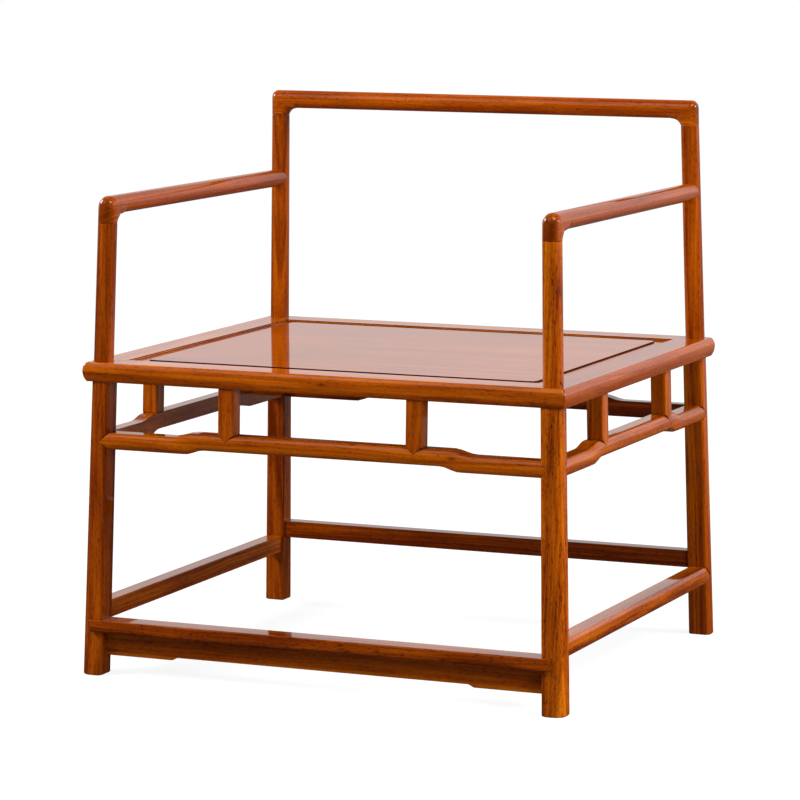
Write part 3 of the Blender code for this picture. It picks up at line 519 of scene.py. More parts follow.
# %% Veins, dashes and knots
VEINS = (85, 1.5)  # waves in a metre away from the pith, and detail
VEINS_START = 0.11
VEIN_EDGES = (0.004, 0.030)  # how far from the noise's middle a vein is full, and ends
VEIN_SPOTS = (4, 24, 24)  # waves in a metre along and across the grain
VEIN_SPOT_EDGES = (0.52, 0.66)
VEIN_SHARE = 0.6
DASHES = ((120, 430, 430), 1)
DASH_EDGES = (0.57, 0.70)
DASH_TONES = (0.62, 0.40)  # in wood as pale as the first they are few, in wood as dark as the second all
FEW_DASHES = 0.25
KNOT_CELLS = (9, 24, 24)  # cells in a metre
KNOT_CHANCE = (0.90, 0.92)  # a cell with a random number above these has a knot
KNOT_EDGES = (0.030, 0.075)


def veins(place, across):
    vein = line_noise(across + VEINS_START, *VEINS)
    vein = ramp_between((vein - 0.5).math("ABSOLUTE"), *VEIN_EDGES, 1, 0)
    return vein * ramp_between(speckle(place, VEIN_SPOTS), *VEIN_SPOT_EDGES, 0, VEIN_SHARE)


def dashes(place, tone):
    crowd = ramp_between(tone, *DASH_TONES, FEW_DASHES, 1.0)
    return ramp_between(speckle(place, *DASHES), *DASH_EDGES, 0, 1) * crowd


def knots(place):
    inputs = {"Vector": vector_node("MULTIPLY", place, KNOT_CELLS), "Scale": 1}
    cells = add_node("ShaderNodeTexVoronoi", inputs)
    chosen = ramp_between(parts_of(cells.outputs["Color"])[0], *KNOT_CHANCE, 0, 1)
    return ramp_between(Field(cells.outputs["Distance"]), *KNOT_EDGES, 1, 0) * chosen


print("a cubic metre of wood has", math.prod(KNOT_CELLS), "cells for a knot")

# %% The grain group
DASH_SHARE = 0.5
PORES = ((160, 1100, 1100), 0)  # waves in a metre along and across the grain, and detail
PORE_EDGES = (0.60, 0.74)
PORE_SHARE = 0.3
KNOT_SHARE = 0.8
LINE_RELIEF = 0.3
PORE_RELIEF = 0.6


def grain_group():
    tree, entry = new_tree(
        "rosewood grain",
        "ShaderNodeTree",
        {"Vector": ["Place"], "Float": ["Figure", "Tone"]},
        {"Color": ["Colour"], "Float": ["Pores", "Height"]},
    )
    # Tone makes a whole stick paler or darker: partly a difference in its wood, partly painted light and
    # shade.
    figure, shift = fields_of(entry, "Figure", "Tone")
    place = bent(entry.outputs["Place"])
    across = from_pith(place)
    lines = line_noise(across + LINES_START, *LINES)
    tone = (tone_of(place, across, lines) - MIDDLE_TONE) * figure + MIDDLE_TONE + shift
    pores = ramp_between(speckle(place, *PORES), *PORE_EDGES, 0, 1)
    marks = (
        (veins(place, across), DARK_WOOD),
        (dashes(place, tone) * figure * DASH_SHARE, VEIN_WOOD),
        (pores * figure * PORE_SHARE, VEIN_WOOD),
        (knots(place) * KNOT_SHARE, VEIN_WOOD),
    )
    colour = colour_ramp(tone, WOODS)
    for share, wood in marks:
        colour = mix_colour(share, colour, wood)
    height = lines * LINE_RELIEF - pores * PORE_RELIEF
    add_node("NodeGroupOutput", {"Colour": colour, "Pores": pores, "Height": height})
    return tree


GRAIN = grain_group()
print(len(GRAIN.nodes), "nodes in the grain")

# %% [markdown]
# ## Lacquer
#
# The sticks are rubbed smooth and lacquered. Under the clear coat the wood itself is dull, so that
# the shader's own gloss is low and its coat is full. Three things follow the piece's shape. End
# grain drinks more lacquer and goes dark. The arrises get a dark line of painted shade. Round the
# seat's panel runs a shallow groove, which gets painted shade, with its coat taken off where it is
# dark: the step up to the panel's field is blackened, and two dark lines are drawn on the frame's
# side of the groove, along its arris and along its seam. Two sticks also have a small knot at a
# chosen place. A very small bump keeps the reflection from being that of glass.

# %% The groove, and two knots
# The groove round the panel is darkened by painted shade: the step up to the field fully, the groove's
# floor a little, and on the frame's side two lines, along its arris and along its seam.
GROOVE_FLOOR_SHADE = 0.12
GROOVE_REACH = 0.0006  # how far past the frame's inner edge a point still belongs to the groove
FIELD_DEPTHS = (0.00102, 0.00125)  # below the seat's top: where the step isn't dark yet, and is
STEPS = (0.80, 0.95)  # a face less level than the first is a step, one more level than the second isn't
ARRIS_DEPTHS = (0.0007, 0.0012)  # the line along the frame's arris ends between these
SEAM_DEPTHS = (0.0022, 0.0028)  # and the line along its seam begins between these
KNOT_PARTS = (
    # how far it is drawn out along the grain, radii between which it fades, how dark it is
    (0.7, (0.0006, 0.0022), 0.85),
    (0.35, (0.0008, 0.0038), 0.5),
)


def groove_share(coordinates, shade, on_panel):
    """How much painted shade a point of the seat gets because it lies in the groove round the panel."""
    x, y, z = parts_of(coordinates.outputs["Object"])
    past_x = x.math("ABSOLUTE") - (SEAT_X - FRAME_WIDTH)
    past_y = (y - MIDDLE_Y).math("ABSOLUTE") - (SEAT_Y - FRAME_WIDTH)
    inside = past_x.math("MAXIMUM", past_y).math("LESS_THAN", GROOVE_REACH) * shade
    depth = SEAT_HEIGHT - z
    if on_panel:
        level = parts_of(coordinates.outputs["Normal"])[2].math("ABSOLUTE")
        steep = ramp_between(level, *STEPS, 1, GROOVE_FLOOR_SHADE)
        return inside * steep * ramp_between(depth, *FIELD_DEPTHS, 0, 1)
    arris_line = ramp_between(depth, *ARRIS_DEPTHS, 1, 0)
    seam_line = ramp_between(depth, *SEAM_DEPTHS, 0, 1)
    return inside * (arris_line + seam_line)


def knot_share(coordinates, middle):
    """How dark a point is because a small knot lies near it, in a shade drawn out along the grain."""
    offset = vector_node("SUBTRACT", coordinates.outputs["Object"], middle)
    shares = []
    for drawn_out, radii, dark in KNOT_PARTS:
        distance = vector_number("LENGTH", vector_node("MULTIPLY", offset, (drawn_out, 1, 1)))
        shares.append(ramp_between(distance, *radii, dark, 0))
    return shares[0].math("MAXIMUM", shares[1])


print("the groove is", (SEAT_X - FRAME_WIDTH) * 2, "m long at the front")

# %% Lacquered rosewood for one stick
COAT_ROUGHNESS = 0.05
WOOD_ROUGHNESS = 0.4  # of the wood under the coat
PORE_ROUGHNESS = 0.2  # what a pore adds to that
BARE_GLOSS = 0.3  # specular level of wood without lacquer
BUMP_DEPTH = 0.00008
BUMP_STRENGTH = 0.25
END_GRAIN_SHADE = 0.45  # how dark end grain gets
END_GRAIN_FACING = (0.35, 1.0)  # and how far a face has to look along the grain for it
ARRIS_SHADE = 0.35  # how dark painted shade makes an arris
# The colour of the painted shade in the groove round the panel.
GROOVE_SHADE_COLOUR = (0.014, 0.0042, 0.0035)
# What turns a stick's own direction to that of the grain.
TURNS = {"x": (0, 0, 0), "y": (0, 0, math.radians(-90)), "z": (0, math.radians(90), 0)}
LOG_STEP = 1.7  # how far along the log the next stick was cut
LOG_TURN = 2.4  # how far round it, in radians
LOG_RADIUS = 0.035


def place_in_log(coordinates, axis, centre, number):
    """Where a stick's points lie in the log. number says where the stick was cut from it."""
    angle = number * LOG_TURN
    inputs = {
        "Vector": vector_node("SUBTRACT", coordinates.outputs["Object"], centre),
        "Location": (number * LOG_STEP, LOG_RADIUS * math.cos(angle), LOG_RADIUS * math.sin(angle)),
        "Rotation": TURNS[axis],
    }
    return add_node("ShaderNodeMapping", inputs).outputs[0]


def rosewood(name, axis, centre, number, lacquered, figure, tone, groove, knot):
    """The wood of one stick. axis is the direction of its grain, groove its painted shade, knot a mark.
    """
    material = bpy.data.materials.new(name)
    tree = shader_tree(material)
    coordinates = add_node("ShaderNodeTexCoord", tree=tree)
    place = place_in_log(coordinates, axis, centre, number)
    inputs = {"Place": place, "Figure": figure, "Tone": tone}
    grain = add_node("ShaderNodeGroup", inputs, node_tree=GRAIN)
    facing = parts_of(coordinates.outputs["Normal"])["xyz".index(axis)].math("ABSOLUTE")
    end_grain = ramp_between(facing, *END_GRAIN_FACING, 0, END_GRAIN_SHADE)
    colour = mix_colour(end_grain, grain.outputs["Colour"], VEIN_WOOD)
    # Painted shade along the arrises, on the faces of the rounding.
    arris = add_node("ShaderNodeAttribute", tree=tree, attribute_name="arris")
    arris_shade_mark = Field(arris.outputs["Fac"]) * ARRIS_SHADE
    colour = mix_colour(arris_shade_mark, colour, DARK_WOOD)
    coat = 1.0 if lacquered else 0.0
    # Painted shade in the groove round the panel. The coat is taken off there as well.
    if groove:
        groove_shade = groove_share(coordinates, *groove)
        colour = mix_colour(groove_shade, colour, GROOVE_SHADE_COLOUR)
        coat = 1 - groove_shade
    if knot:
        colour = mix_colour(knot_share(coordinates, knot), colour, VEIN_WOOD)
    inputs = {"Strength": BUMP_STRENGTH, "Distance": BUMP_DEPTH, "Height": grain.outputs["Height"]}
    bump = add_node("ShaderNodeBump", inputs)
    inputs = {
        "Base Color": colour,
        "Roughness": Field(grain.outputs["Pores"]) * PORE_ROUGHNESS + WOOD_ROUGHNESS,
        "Normal": bump.outputs[0],
        "Specular IOR Level": 0.0 if lacquered else BARE_GLOSS,
        "Coat Weight": coat,
        "Coat Roughness": COAT_ROUGHNESS,
    }
    shader = add_node("ShaderNodeBsdfPrincipled", inputs)
    add_node("ShaderNodeOutputMaterial", {"Surface": shader.outputs[0]})
    return material


print("a stick's coat has a roughness of", COAT_ROUGHNESS)

# %% [markdown]
# ## Sticks from the frame's own solids
#
# The solids' straight faces already have the right shape. What they lack is an arris: on a real
# stick no edge is sharp, and each one catches a thin line of light. We copy a solid, join its loose
# triangles, melt the flat ones together and round every edge by less than half a millimetre. The
# faces of the rounding are marked in an attribute, where the wood paints a dark line of shade.

# %% Round the arrises
ARRIS = 0.00035
WELD = 0.000004
FLAT = math.radians(0.25)
SHARP = math.radians(28)
ARRIS_SEGMENTS = 2
FLATNESS = 50  # how much large faces count when normals are evened out


def healed(mesh):
    """A copy of a mesh, with loose triangles joined into flat faces that point outwards."""
    shape = bmesh.new()
    shape.from_mesh(mesh)
    bmesh.ops.remove_doubles(shape, verts=shape.verts, dist=WELD)
    bmesh.ops.dissolve_limit(shape, angle_limit=FLAT, verts=shape.verts, edges=shape.edges)
    bmesh.ops.recalc_face_normals(shape, faces=shape.faces)
    return shape


def soften(shape):
    """Rounds all sharp edges, and marks the faces of the rounding, which the wood darkens as painted
    shade.
    """
    shape.faces.layers.float.new("arris")
    edges = [edge for edge in shape.edges if edge.is_manifold and edge.calc_face_angle() > SHARP]
    made = bmesh.ops.bevel(
        shape, geom=edges, offset=ARRIS, offset_type="OFFSET", segments=ARRIS_SEGMENTS,
        profile=0.5, affect="EDGES", clamp_overlap=True,
    )
    arris_shade_mark = shape.faces.layers.float["arris"]
    for face in made["faces"]:
        face[arris_shade_mark] = 1.0
    for face in shape.faces:
        face.smooth = True


def keep(thing):
    """Replaces an object's mesh by what its modifiers make of it."""
    graph = bpy.context.evaluated_depsgraph_get()
    result = bpy.data.meshes.new_from_object(thing.evaluated_get(graph))
    thing.modifiers.clear()
    thing.data = result
    result.name = thing.name


def piece_from(shape, name):
    """An object with soft arrises, shaded so that large faces stay flat up to them."""
    soften(shape)
    mesh = bpy.data.meshes.new(name)
    shape.to_mesh(mesh)
    shape.free()
    piece = add_object(name, mesh)
    evened = piece.modifiers.new("even", "WEIGHTED_NORMAL")
    evened.mode = "FACE_AREA"
    evened.weight = FLATNESS
    keep(piece)
    return piece


print("arrises are", ARRIS * 1000, "mm")

# %% [markdown]
# ## The nose of the seat
#
# The seat's four rails show a rounded nose. A light at a low angle would draw its flats in the
# lacquer, so that here it has to be truly round: above its furthest line it is a quarter of an
# ellipse, and below it an arc. We cut the solid's flats into narrower ones, and move each point of
# them onto that curve. At the corners of the seat the noses are also rounded in plan, as a hand
# plane leaves them. Points are moved towards the middle of that rounding, so that both rails of a
# corner still meet at their mitre.

# %% Round a seat rail's nose
NOSE_DEPTH = 0.006  # how far in over the top the nose is rounded
NOSE_CREST = 0.012  # top of the seat down to the nose's furthest line
NOSE_UNDER = 0.027  # radius of the nose below that line
NOSE_CUTS = 12
LOWEST_CUT = NOSE_CREST * 1.1  # how far below that line the cuts end
NOSE_REACH = 0.001  # how far the solid's flats may lie from the curve
CORNER_ROUND = 0.005
CORNER_CUTS = 5


def nose_inset(z):
    """How far the nose lies inside the seat's edge at a height."""
    rise = z - (SEAT_HEIGHT - NOSE_CREST)
    if rise > 0:
        return NOSE_DEPTH * (1 - math.sqrt(max(0.0, 1 - (rise / NOSE_CREST) ** 2)))
    return NOSE_UNDER - math.sqrt(NOSE_UNDER**2 - rise**2)


def insets(vertex):
    """How far a point lies inside the seat's edges at the side and at the front or rear."""
    return SEAT_X - abs(vertex.co.x), SEAT_Y - abs(vertex.co.y - MIDDLE_Y)


def on_nose(vertex, side):
    inset = insets(vertex)[side]
    return inset < NOSE_DEPTH + WELD and abs(inset - nose_inset(vertex.co.z)) < NOSE_REACH


def cut_nose(shape, side, point, normal):
    faces = [face for face in shape.faces if all(on_nose(vertex, side) for vertex in face.verts)]
    parts = {part for face in faces for part in (*face.verts, *face.edges)}
    bmesh.ops.bisect_plane(shape, geom=[*faces, *parts], plane_co=point, plane_no=normal, dist=WELD)


def moved(vertex, outward_x, outward_y):
    """Moves a point away from the middle of the seat."""
    vertex.co.x += outward_x * math.copysign(1, vertex.co.x)
    vertex.co.y += outward_y * math.copysign(1, vertex.co.y - MIDDLE_Y)


def cut_finely(shape, side):
    """Cuts the nose's flats along it, and across it near both of its mitres."""
    for step in range(1, NOSE_CUTS):
        angle = math.pi / 2 * step / NOSE_CUTS
        for height in (NOSE_CREST * math.sin(angle), -LOWEST_CUT * step / NOSE_CUTS):
            point = Vector((0, 0, SEAT_HEIGHT - NOSE_CREST + height))
            cut_nose(shape, side, point, (0, 0, 1))
    for x in (-1, 1):
        for y in (-1, 1):
            for step in range(1, CORNER_CUTS + 1):
                along = CORNER_ROUND * step / CORNER_CUTS
                inset = (0, along) if side else (along, 0)
                point = Vector((x * (SEAT_X - inset[1]), MIDDLE_Y + y * (SEAT_Y - inset[0]), 0))
                cut_nose(shape, side, point, Vector((x, -y, 0)))


def round_nose(shape, side):
    """side is 0 for a rail at the left or right, and 1 for one at the front or rear."""
    cut_finely(shape, side)
    for vertex in shape.verts:
        if on_nose(vertex, side):
            at = insets(vertex)
            mitred = abs(at[0] - at[1]) < NOSE_REACH
            out = at[side] - nose_inset(vertex.co.z)
            moved(vertex, out if mitred or not side else 0, out if mitred or side else 0)
            centre = nose_inset(vertex.co.z) + CORNER_ROUND
            ahead = [centre - inset for inset in insets(vertex)]
            if min(ahead) > 0:
                shrink = max(ahead) / math.hypot(*ahead) - 1
                moved(vertex, ahead[0] * shrink, ahead[1] * shrink)


print("the nose is", nose_inset(SEAT_HEIGHT) * 1000, "mm deep at the top")

# %% [markdown]
# ## The seat's panel
#
# Its border is sunk, which leaves a groove between the frame and the raised field. In the lacquer
# of that groove the frame's whole side is mirrored only if the groove is shallow, so that we raise
# the border a little.

# %% Take a solid as it is, or better it first
BORDER_TOP = 0.4248  # the panel's sunk border, in the model
BORDER_POINTS = (-0.0006, 0.0001)  # how far below and above it its points lie
BORDER_LIFT = 0.0012


def lift_border(shape):
    for vertex in shape.verts:
        if BORDER_POINTS[0] < vertex.co.z - BORDER_TOP < BORDER_POINTS[1]:
            vertex.co.z += BORDER_LIFT


def stick_from_solid(node):
    shape = healed(solids[node].data)
    if node == "seat_panel":
        lift_border(shape)
    if node.startswith("seat_rail"):
        round_nose(shape, 1 if node.endswith(("front", "rear")) else 0)
    return piece_from(shape, node + "_wood")


print("sticks with a nose:", [node for node in solids if node.startswith("seat_rail")])

# %% [markdown]
# ## Round rails that turn down
#
# The crest rail and the arm rails are round sticks whose ends turn down onto the posts, as a pipe
# does. In wood that elbow can't be bent: it is carved from a thicker end. Its outer corner is
# rounded, and its inner corner is a hollow that runs out along the rail. A sweep along a bent path
# would pinch there, so that we work with sections that fan out from the centre of that hollow. Each
# section's outer half follows rail, corner and post, and its inner half touches the hollow.
#
# A Geometry Nodes tree holds this rule. It lays out a grid, whose rows become the sections and whose
# columns run round them, and moves each point to its place. The first two rows close the end that
# stands on the post. The crest rail has an elbow at both ends: there the second half of the grid
# mirrors the first. An arm rail ends in a saddle that fits round the rear post.

# %% Helpers for geometry trees
TURN_STEPS = 54
ROUND_STEPS = 64
SADDLE_STEPS = 4
LAST_TURN = TURN_STEPS + 2  # the section where an elbow has become its rail
MERGE = 0.000002


def set_position(geometry, place):
    inputs = {"Geometry": geometry, "Position": place}
    return add_node("GeometryNodeSetPosition", inputs).outputs[0]


def position_of(tree):
    return add_node("GeometryNodeInputPosition", tree=tree).outputs[0]


def merged(geometry):
    inputs = {"Geometry": geometry, "Distance": MERGE}
    return add_node("GeometryNodeMergeByDistance", inputs).outputs[0]


def end_tree(geometry, wood):
    """Makes a tree's result real, gives it its wood and sends it out."""
    real = add_node("GeometryNodeRealizeInstances", {0: geometry})
    inputs = {"Geometry": real.outputs[0], "Material": wood}
    coated = add_node("GeometryNodeSetMaterial", inputs)
    add_node("NodeGroupOutput", {0: coated.outputs[0]})


def blend(share, first, second):
    return first + (second - first) * share


def clamped(field):
    return field.math("MAXIMUM", 0.0).math("MINIMUM", 1.0)


def mixed_places(share, first, second):
    inputs = {0: share, 4: first, 5: second}
    return add_node("ShaderNodeMix", inputs, data_type="VECTOR").outputs[1]


print("elbows have", TURN_STEPS + 1, "sections of", ROUND_STEPS, "points")

# %% A section of the elbow
ELBOW_SIZES = ("Rail Radius", "Post Radius", "Drop", "Corner Radius", "Fillet Run", "Collar")


def elbow_section(entry, turn, p, q):
    """A section's middle, and a point on it. p and q are a point of a circle, p away from the pivot."""
    rail, post, drop, corner_radius, run, collar = fields_of(entry, *ELBOW_SIZES)
    # From the pivot to the hollow, to the stick's axis, to its outer side and to the round corner.
    fillet = (run, drop - rail - collar)
    near = [size + rail for size in fillet]
    far = [size + rail for size in near]
    bend = [size - corner_radius for size in far]
    sine, cosine = turn.math("SINE"), turn.math("COSINE")
    middle = 1 / (sine / near[0]).math("MAXIMUM", cosine / near[1])
    inner = 1 / hypotenuse(sine / fillet[0], cosine / fillet[1])
    reach = 1 / (sine / far[0]).math("MAXIMUM", cosine / far[1])
    past_bend = (reach * sine - bend[0]).math("MINIMUM", reach * cosine - bend[1])
    rounded = past_bend.math("GREATER_THAN", 0.0)
    along = bend[0] * sine + bend[1] * cosine
    room = along * along - bend[0] * bend[0] - bend[1] * bend[1] + corner_radius * corner_radius
    reach = blend(rounded, reach, along + room.math("MAXIMUM", 0.0).math("SQRT"))
    radius = blend(turn / (math.pi / 2), rail, post)
    # A circle at both ends of the bend, and half way to a square in its middle.
    fullness = (turn * 2).math("SINE") * 2 + 2
    corners = p.math("ABSOLUTE").math("POWER", fullness) + q.math("ABSOLUTE").math("POWER", fullness)
    squarer = radius / corners.math("POWER", 1 / fullness)
    outwards = p.math("GREATER_THAN", 0.0)
    hollow_place = blend(1 + p, inner + rail, middle) + p * squarer
    round_place = middle + p * (reach - middle) * (radius / rail)
    place = blend(outwards, hollow_place, round_place)
    size = blend(outwards, squarer, radius)
    corner, inward, sideways, lean = fields_of(entry, "Corner", "Inward", "Sideways", "Lean")
    across = summed(upwards(cosine), scaled(inward, 0 - sine))
    pivot = summed(
        corner, scaled(inward, near[0]), upwards(0 - near[1]), scaled(lean, near[1] - cosine * middle)
    )
    centre = summed(pivot, scaled(across, middle))
    point = summed(pivot, scaled(across, place), scaled(sideways, q * size))
    fall = drop - near[1]
    slide = summed(scaled(lean, fall), upwards(0 - fall))
    return centre, point, slide


print("an elbow turns in steps of", round(90 / TURN_STEPS, 2), "degrees")

# %% The saddle round the rear post
def saddle_point(entry, p, q, share):
    """A point of the end that fits round the rear post. share is 1 at its rim and 0 in its middle."""
    rail, hollow = fields_of(entry, "Rail Radius", "Saddle Radius")
    inward, sideways, lean, end = fields_of(entry, "Inward", "Sideways", "Rear Lean", "End")
    rise = p * rail * share
    point = summed(end, upwards(rise), scaled(sideways, q * rail * share))
    axis = summed(end, upwards(rise), scaled(lean, 0 - rise))
    offset = vector_node("SUBTRACT", axis, point)
    beside = vector_number("DOT_PRODUCT", offset, sideways)
    reach = vector_number("DOT_PRODUCT", offset, inward)
    reach = reach - (hollow * hollow - beside * beside).math("SQRT")
    return summed(point, scaled(inward, reach))


print("a saddle has", SADDLE_STEPS, "rings")

# %% The tree of the round rails
def turned_rail_tree():
    tree, entry = new_tree(
        "turned rail",
        "GeometryNodeTree",
        {
            "Vector": ["Corner", "Inward", "Sideways", "Lean", "End", "Rear Lean"],
            "Float": [*ELBOW_SIZES, "Saddle Radius", "Mirrored"],
            "Int": ["Sections"],
            "Material": ["Wood"],
        },
        {"Geometry": ["Geometry"]},
    )
    sections, mirrored = fields_of(entry, "Sections", "Mirrored")
    inputs = {"Size X": 1, "Size Y": 1, "Vertices X": sections, "Vertices Y": ROUND_STEPS + 1}
    grid = add_node("GeometryNodeMeshGrid", inputs)
    row, column, _ = parts_of(position_of(tree))
    last = sections - 1
    station = ((row + 0.5) * last).math("ROUND")
    second_half = (station * 2).math("GREATER_THAN", last) * mirrored
    station = blend(second_half, station, last - station)
    angle = (column + 0.5) * (2 * math.pi)
    p, q = angle.math("COSINE"), angle.math("SINE")
    turn = clamped((LAST_TURN - station) / TURN_STEPS) * (math.pi / 2)
    centre, point, slide = elbow_section(entry, turn, p, q)
    point = mixed_places(clamped(station), centre, point)
    point = summed(point, scaled(slide, 1 - clamped(station - 1)))
    share = 1 - clamped((station - (LAST_TURN + 1)) / SADDLE_STEPS)
    saddle = saddle_point(entry, p, q, share)
    point = mixed_places(clamped(station - LAST_TURN), point, saddle)
    side = vector_of(1 - second_half * 2, 1.0, 1.0)
    point = vector_node("MULTIPLY", point, side)
    shape = merged(set_position(grid.outputs["Mesh"], point))
    end_tree(shape, entry.outputs["Wood"])
    return tree


TURNED_RAIL = turned_rail_tree()
print(len(TURNED_RAIL.nodes), "nodes in the round rails")

# %% Grow a piece from a tree
COLLAR = 0.001  # how far an elbow goes on round under its hollow


def grown(node, tree, **values):
    """The piece that a tree makes from the given inputs, with its arrises rounded."""
    source = add_object(node + "_grown", bpy.data.meshes.new(node))
    modifier = source.modifiers.new("tree", "NODES")
    modifier.node_group = tree
    labels = {item.name: item.identifier for item in tree.interface.items_tree if item.in_out == "INPUT"}
    for label, value in values.items():
        modifier[labels[label.replace("_", " ").title()]] = value
    keep(source)
    shape = healed(source.data)
    bpy.data.objects.remove(source)
    return piece_from(shape, node + "_wood")


def round_rail(node, wood, right, rear, inward, sideways, height, **sizes):
    """A rail with an elbow over the post at right and rear."""
    return grown(
        node, TURNED_RAIL, wood=wood, corner=post_axis(right, rear, height), inward=Vector(inward),
        sideways=Vector(sideways), lean=Vector((right * LEAN_X, rear * LEAN_Y, 0)),
        post_radius=post_radius(height - sizes["drop"]), collar=COLLAR, **sizes,
    )


print("a grown piece gets its sizes by name")

# %% The crest rail and the arm rails
ARM_HEIGHT = 0.6405
ARM_FALL = 0.0025  # how much lower an arm rail is at the rear post


def crest_rail(node, wood):
    return round_rail(
        node, wood, right=1, rear=1, inward=(-1, 0, 0), sideways=(0, 1, 0), height=CREST_HEIGHT,
        rail_radius=0.013, drop=0.0233, corner_radius=0.010, fillet_run=0.016,
        sections=2 * (LAST_TURN + 1), mirrored=1.0,
    )


def arm_rail(node, wood):
    right = 1 if node.endswith("right") else -1
    rear_height = ARM_HEIGHT - ARM_FALL
    return round_rail(
        node, wood, right=right, rear=-1, inward=(0, 1, 0), sideways=(1, 0, 0), height=ARM_HEIGHT,
        rail_radius=0.0126, drop=0.0231, corner_radius=0.0135, fillet_run=0.021,
        sections=LAST_TURN + SADDLE_STEPS + 2, end=post_axis(right, 1, rear_height),
        rear_lean=Vector((right * LEAN_X, LEAN_Y, 0)), saddle_radius=post_radius(rear_height) + SEAM,
    )


print("the arms fall by", ARM_FALL * 1000, "mm towards the rear")

# %% [markdown]
# ## Struts
#
# Eight short sticks stand between the humpback rails and the seat. They are all one shape: a square
# with its two outer corners well rounded and its inner ones hardly, and a foot that laps over the
# rail in a V. So one tree makes them all, and each strut only has its own side and place. The tree
# fillets a square, fills it, draws it up, and cuts the foot free with two bodies. Then it leans the
# strut as the posts lean.

# %% The stock and the waste of a strut
STRUT_CORNER_STEPS = 6
STRUT_OVERRUN = 0.004  # how far the cutting bodies reach past the foot
STRUT_SIZES = (
    "Width", "Outer Radius", "Inner Radius", "Shoulder", "Top", "Tip", "Tip Half",
    "Tip Thickness", "Lean",
)


def cube(tree, columns=2):
    inputs = {"Size": (1, 1, 1), "Vertices X": columns}
    return add_node("GeometryNodeMeshCube", inputs, tree).outputs["Mesh"]


def strut_stock(tree, width, radii, low, high):
    """The square stick, from its foot to the seat."""
    inputs = {"Width": width, "Height": width}
    square = add_node("GeometryNodeCurvePrimitiveQuadrilateral", inputs)
    outer = parts_of(position_of(tree))[1].math("GREATER_THAN", 0.0)
    radius = blend(outer, radii[1], radii[0])
    inputs = {"Curve": square.outputs[0], "Count": STRUT_CORNER_STEPS, "Radius": radius}
    rounded = add_node("GeometryNodeFilletCurve", inputs, mode="POLY")
    filled = add_node("GeometryNodeFillCurve", {"Curve": rounded.outputs[0]}, mode="NGONS")
    foot = summed(position_of(tree), upwards(low))
    base = set_position(filled.outputs[0], foot)
    inputs = {"Mesh": base, "Offset": upwards(high - low), "Offset Scale": 1, "Individual": False}
    drawn = add_node("GeometryNodeExtrudeMesh", inputs, mode="FACES")
    flipped = add_node("GeometryNodeFlipFaces", {"Mesh": base})
    joined = add_node("GeometryNodeJoinGeometry", {0: drawn.outputs["Mesh"]})
    feed(joined.inputs[0], flipped.outputs[0])
    return merged(joined.outputs[0])


def strut_waste(tree, width, tip, base, half):
    """What is cut away below the foot: its top is notched by the V."""
    x, y, z = parts_of(position_of(tree))
    column = x.math("ABSOLUTE") * 4
    wing = clamped(column)
    u = (wing * half + clamped(column - 1) * (width - half)) * x.math("SIGN")
    top = blend(wing, tip, base)
    height = blend(z + 0.5, tip - STRUT_OVERRUN, top)
    return set_position(cube(tree, 5), vector_of(u, y * width * 2, height))


def strut_back(tree, width, tip, base, thickness):
    """What is cut away behind the V, down to the flat shoulder."""
    x, y, z = parts_of(position_of(tree))
    out = blend(y + 0.5, 0 - width, width / 2 - thickness)
    height = blend(z + 0.5, tip - STRUT_OVERRUN, base)
    return set_position(cube(tree), vector_of(x * width * 2, out, height))


print("a strut's corner has", STRUT_CORNER_STEPS, "steps")

# %% The tree of the struts
def strut_tree():
    tree, entry = new_tree(
        "strut",
        "GeometryNodeTree",
        {"Float": STRUT_SIZES, "Vector": ["Along", "Outward", "Start"], "Material": ["Wood"]},
        {"Geometry": ["Geometry"]},
    )
    width, outer, inner, base, high, tip, half, thickness, lean = fields_of(entry, *STRUT_SIZES)
    stock = strut_stock(tree, width, (outer, inner), tip - SEAM, high)
    inputs = {"Mesh 1": stock, "Mesh 2": strut_waste(tree, width, tip, base, half)}
    trimmed = add_node("GeometryNodeMeshBoolean", inputs, operation="DIFFERENCE", solver="EXACT")
    feed(trimmed.inputs["Mesh 2"], strut_back(tree, width, tip, base, thickness))
    x, y, z = parts_of(position_of(tree))
    out = y - width / 2 + lean * (SEAT_HEIGHT - z)
    start, along, outward = fields_of(entry, "Start", "Along", "Outward")
    place = summed(start, scaled(along, x), scaled(outward, out), upwards(z))
    end_tree(set_position(trimmed.outputs[0], place), entry.outputs["Wood"])
    return tree


STRUT = strut_tree()
print(len(STRUT.nodes), "nodes in the struts")

# %% Eight struts
STRUT_FACE = 0.014049  # plane of the posts' axes to the strut's outer face
SIDES = {
    # along the side, outwards, middle of the seat to the posts, their lean, middle to a strut
    "front": ((1, 0, 0), (0, -1, 0), POST_Y, LEAN_Y, 0.1363),
    "rear": ((1, 0, 0), (0, 1, 0), POST_Y, LEAN_Y, 0.1363),
    "left": ((0, 1, 0), (-1, 0, 0), POST_X, LEAN_X, 0.127),
    "right": ((0, 1, 0), (1, 0, 0), POST_X, LEAN_X, 0.127),
}


def strut(node, wood):
    _, side, end = node.split("_")
    along, outward, plane, lean, spread = SIDES[side]
    sign = 1 if end in ("right", "rear") else -1
    start = Vector(along) * spread * sign + Vector(outward) * (plane + STRUT_FACE)
    start.y += MIDDLE_Y
    return grown(
        node, STRUT, wood=wood, width=0.023, outer_radius=0.003, inner_radius=0.001,
        shoulder=0.3403, top=0.4027, tip=0.3315, tip_half=0.01035, tip_thickness=0.0056,
        along=Vector(along), outward=Vector(outward), start=start, lean=lean,
    )


print(len(SIDES) * 2, "struts to make")

# %% [markdown]
# ## All the sticks
#
# Now each stick gets its wood and takes the place of its solid. The grain runs along a stick, so its
# name is enough to say which way.

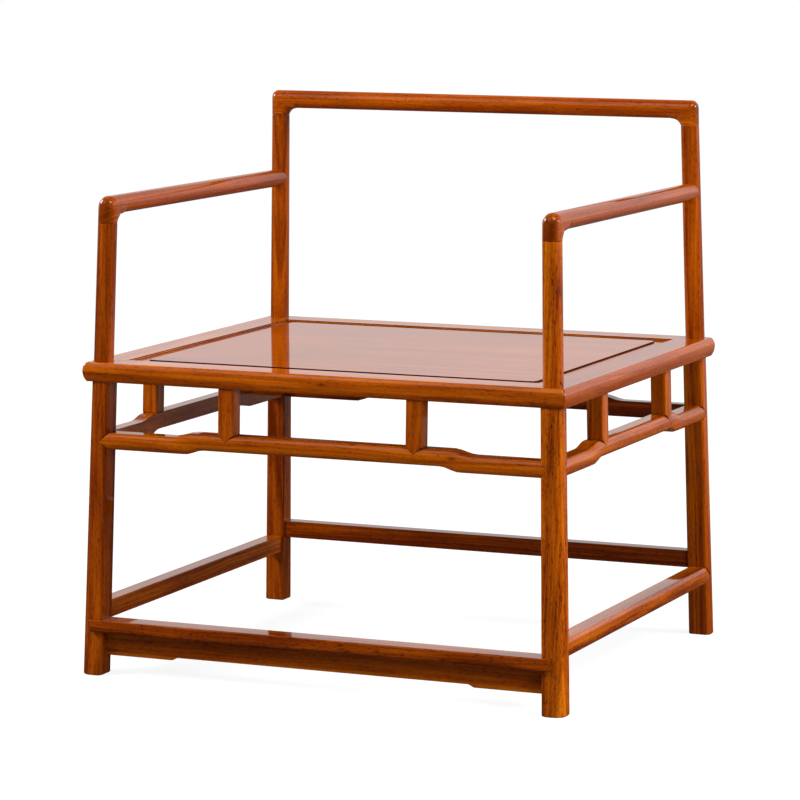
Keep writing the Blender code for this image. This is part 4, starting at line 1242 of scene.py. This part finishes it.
# %% Make every stick
FIGURES = {  # how strong the figure is, where it isn't 1
    "seat_panel": 0.5, "arm_rail_left": 0.6, "arm_rail_right": 0.6, "seat_rail_right": 0.6,
    "leg_front_right": 1.7, "footrest": 1.4, "stretcher_right": 1.3,
}
KNOTS = {  # middle of a small knot in a stick's face
    "seat_rail_front": (0.0070, -0.3005, 0.4170),
    "humpback_rail_front": (0.1910, -0.2960, 0.3290),
}
PANEL_GROOVE_SHADE = 0.97  # how dark painted shade makes the groove on the panel's side
RAIL_GROOVE_SHADE = 0.85  # and on the frame's side
TONES_AND_SHADE = {  # how much paler or darker a stick is: partly its wood, partly painted light and shade, as on the rear rail and stretcher under the seat
    "arm_rail_left": -0.07, "arm_rail_right": -0.08, "crest_rail": -0.03, "footrest": -0.09,
    "leg_front_left": -0.10, "leg_front_right": 0.03, "leg_rear_left": -0.07, "leg_rear_right": -0.05,
    "humpback_rail_rear": -0.22, "stretcher_rear": -0.15, "seat_panel": -0.04,
    "seat_rail_front": 0.045, "seat_rail_left": 0.04, "seat_rail_rear": 0.04, "seat_rail_right": -0.075,
}


def grain_axis(node):
    """Which way a stick was cut from the log."""
    if node.startswith(("leg", "strut")):
        return "z"
    return "y" if node.endswith(("_left", "_right")) else "x"


def groove_of(node):
    """How dark the painted shade in the groove gets on a piece of the seat, and whether it is the panel.
    """
    if node == "seat_panel":
        return PANEL_GROOVE_SHADE, True
    return (RAIL_GROOVE_SHADE, False) if node.startswith("seat_rail") else None


def make_stick(node, number):
    low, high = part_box(node)
    lacquered = not node.startswith("seat_batten")
    wood = rosewood(
        node + "_rosewood", grain_axis(node), (low + high) / 2, number, lacquered,
        figure=FIGURES.get(node, 1.0), tone=TONES_AND_SHADE.get(node, 0.0),
        groove=groove_of(node), knot=KNOTS.get(node),
    )
    if node == "crest_rail":
        piece = crest_rail(node, wood)
    elif node.startswith("arm_rail"):
        piece = arm_rail(node, wood)
    elif node.startswith("strut"):
        piece = strut(node, wood)
    else:
        piece = stick_from_solid(node)
    piece.data.materials.clear()
    piece.data.materials.append(wood)
    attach(piece, "root")
    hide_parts(node)
    print(piece.name, "has", len(piece.data.polygons), "faces")


for number, node in enumerate(sorted(solids)):
    make_stick(node, number)
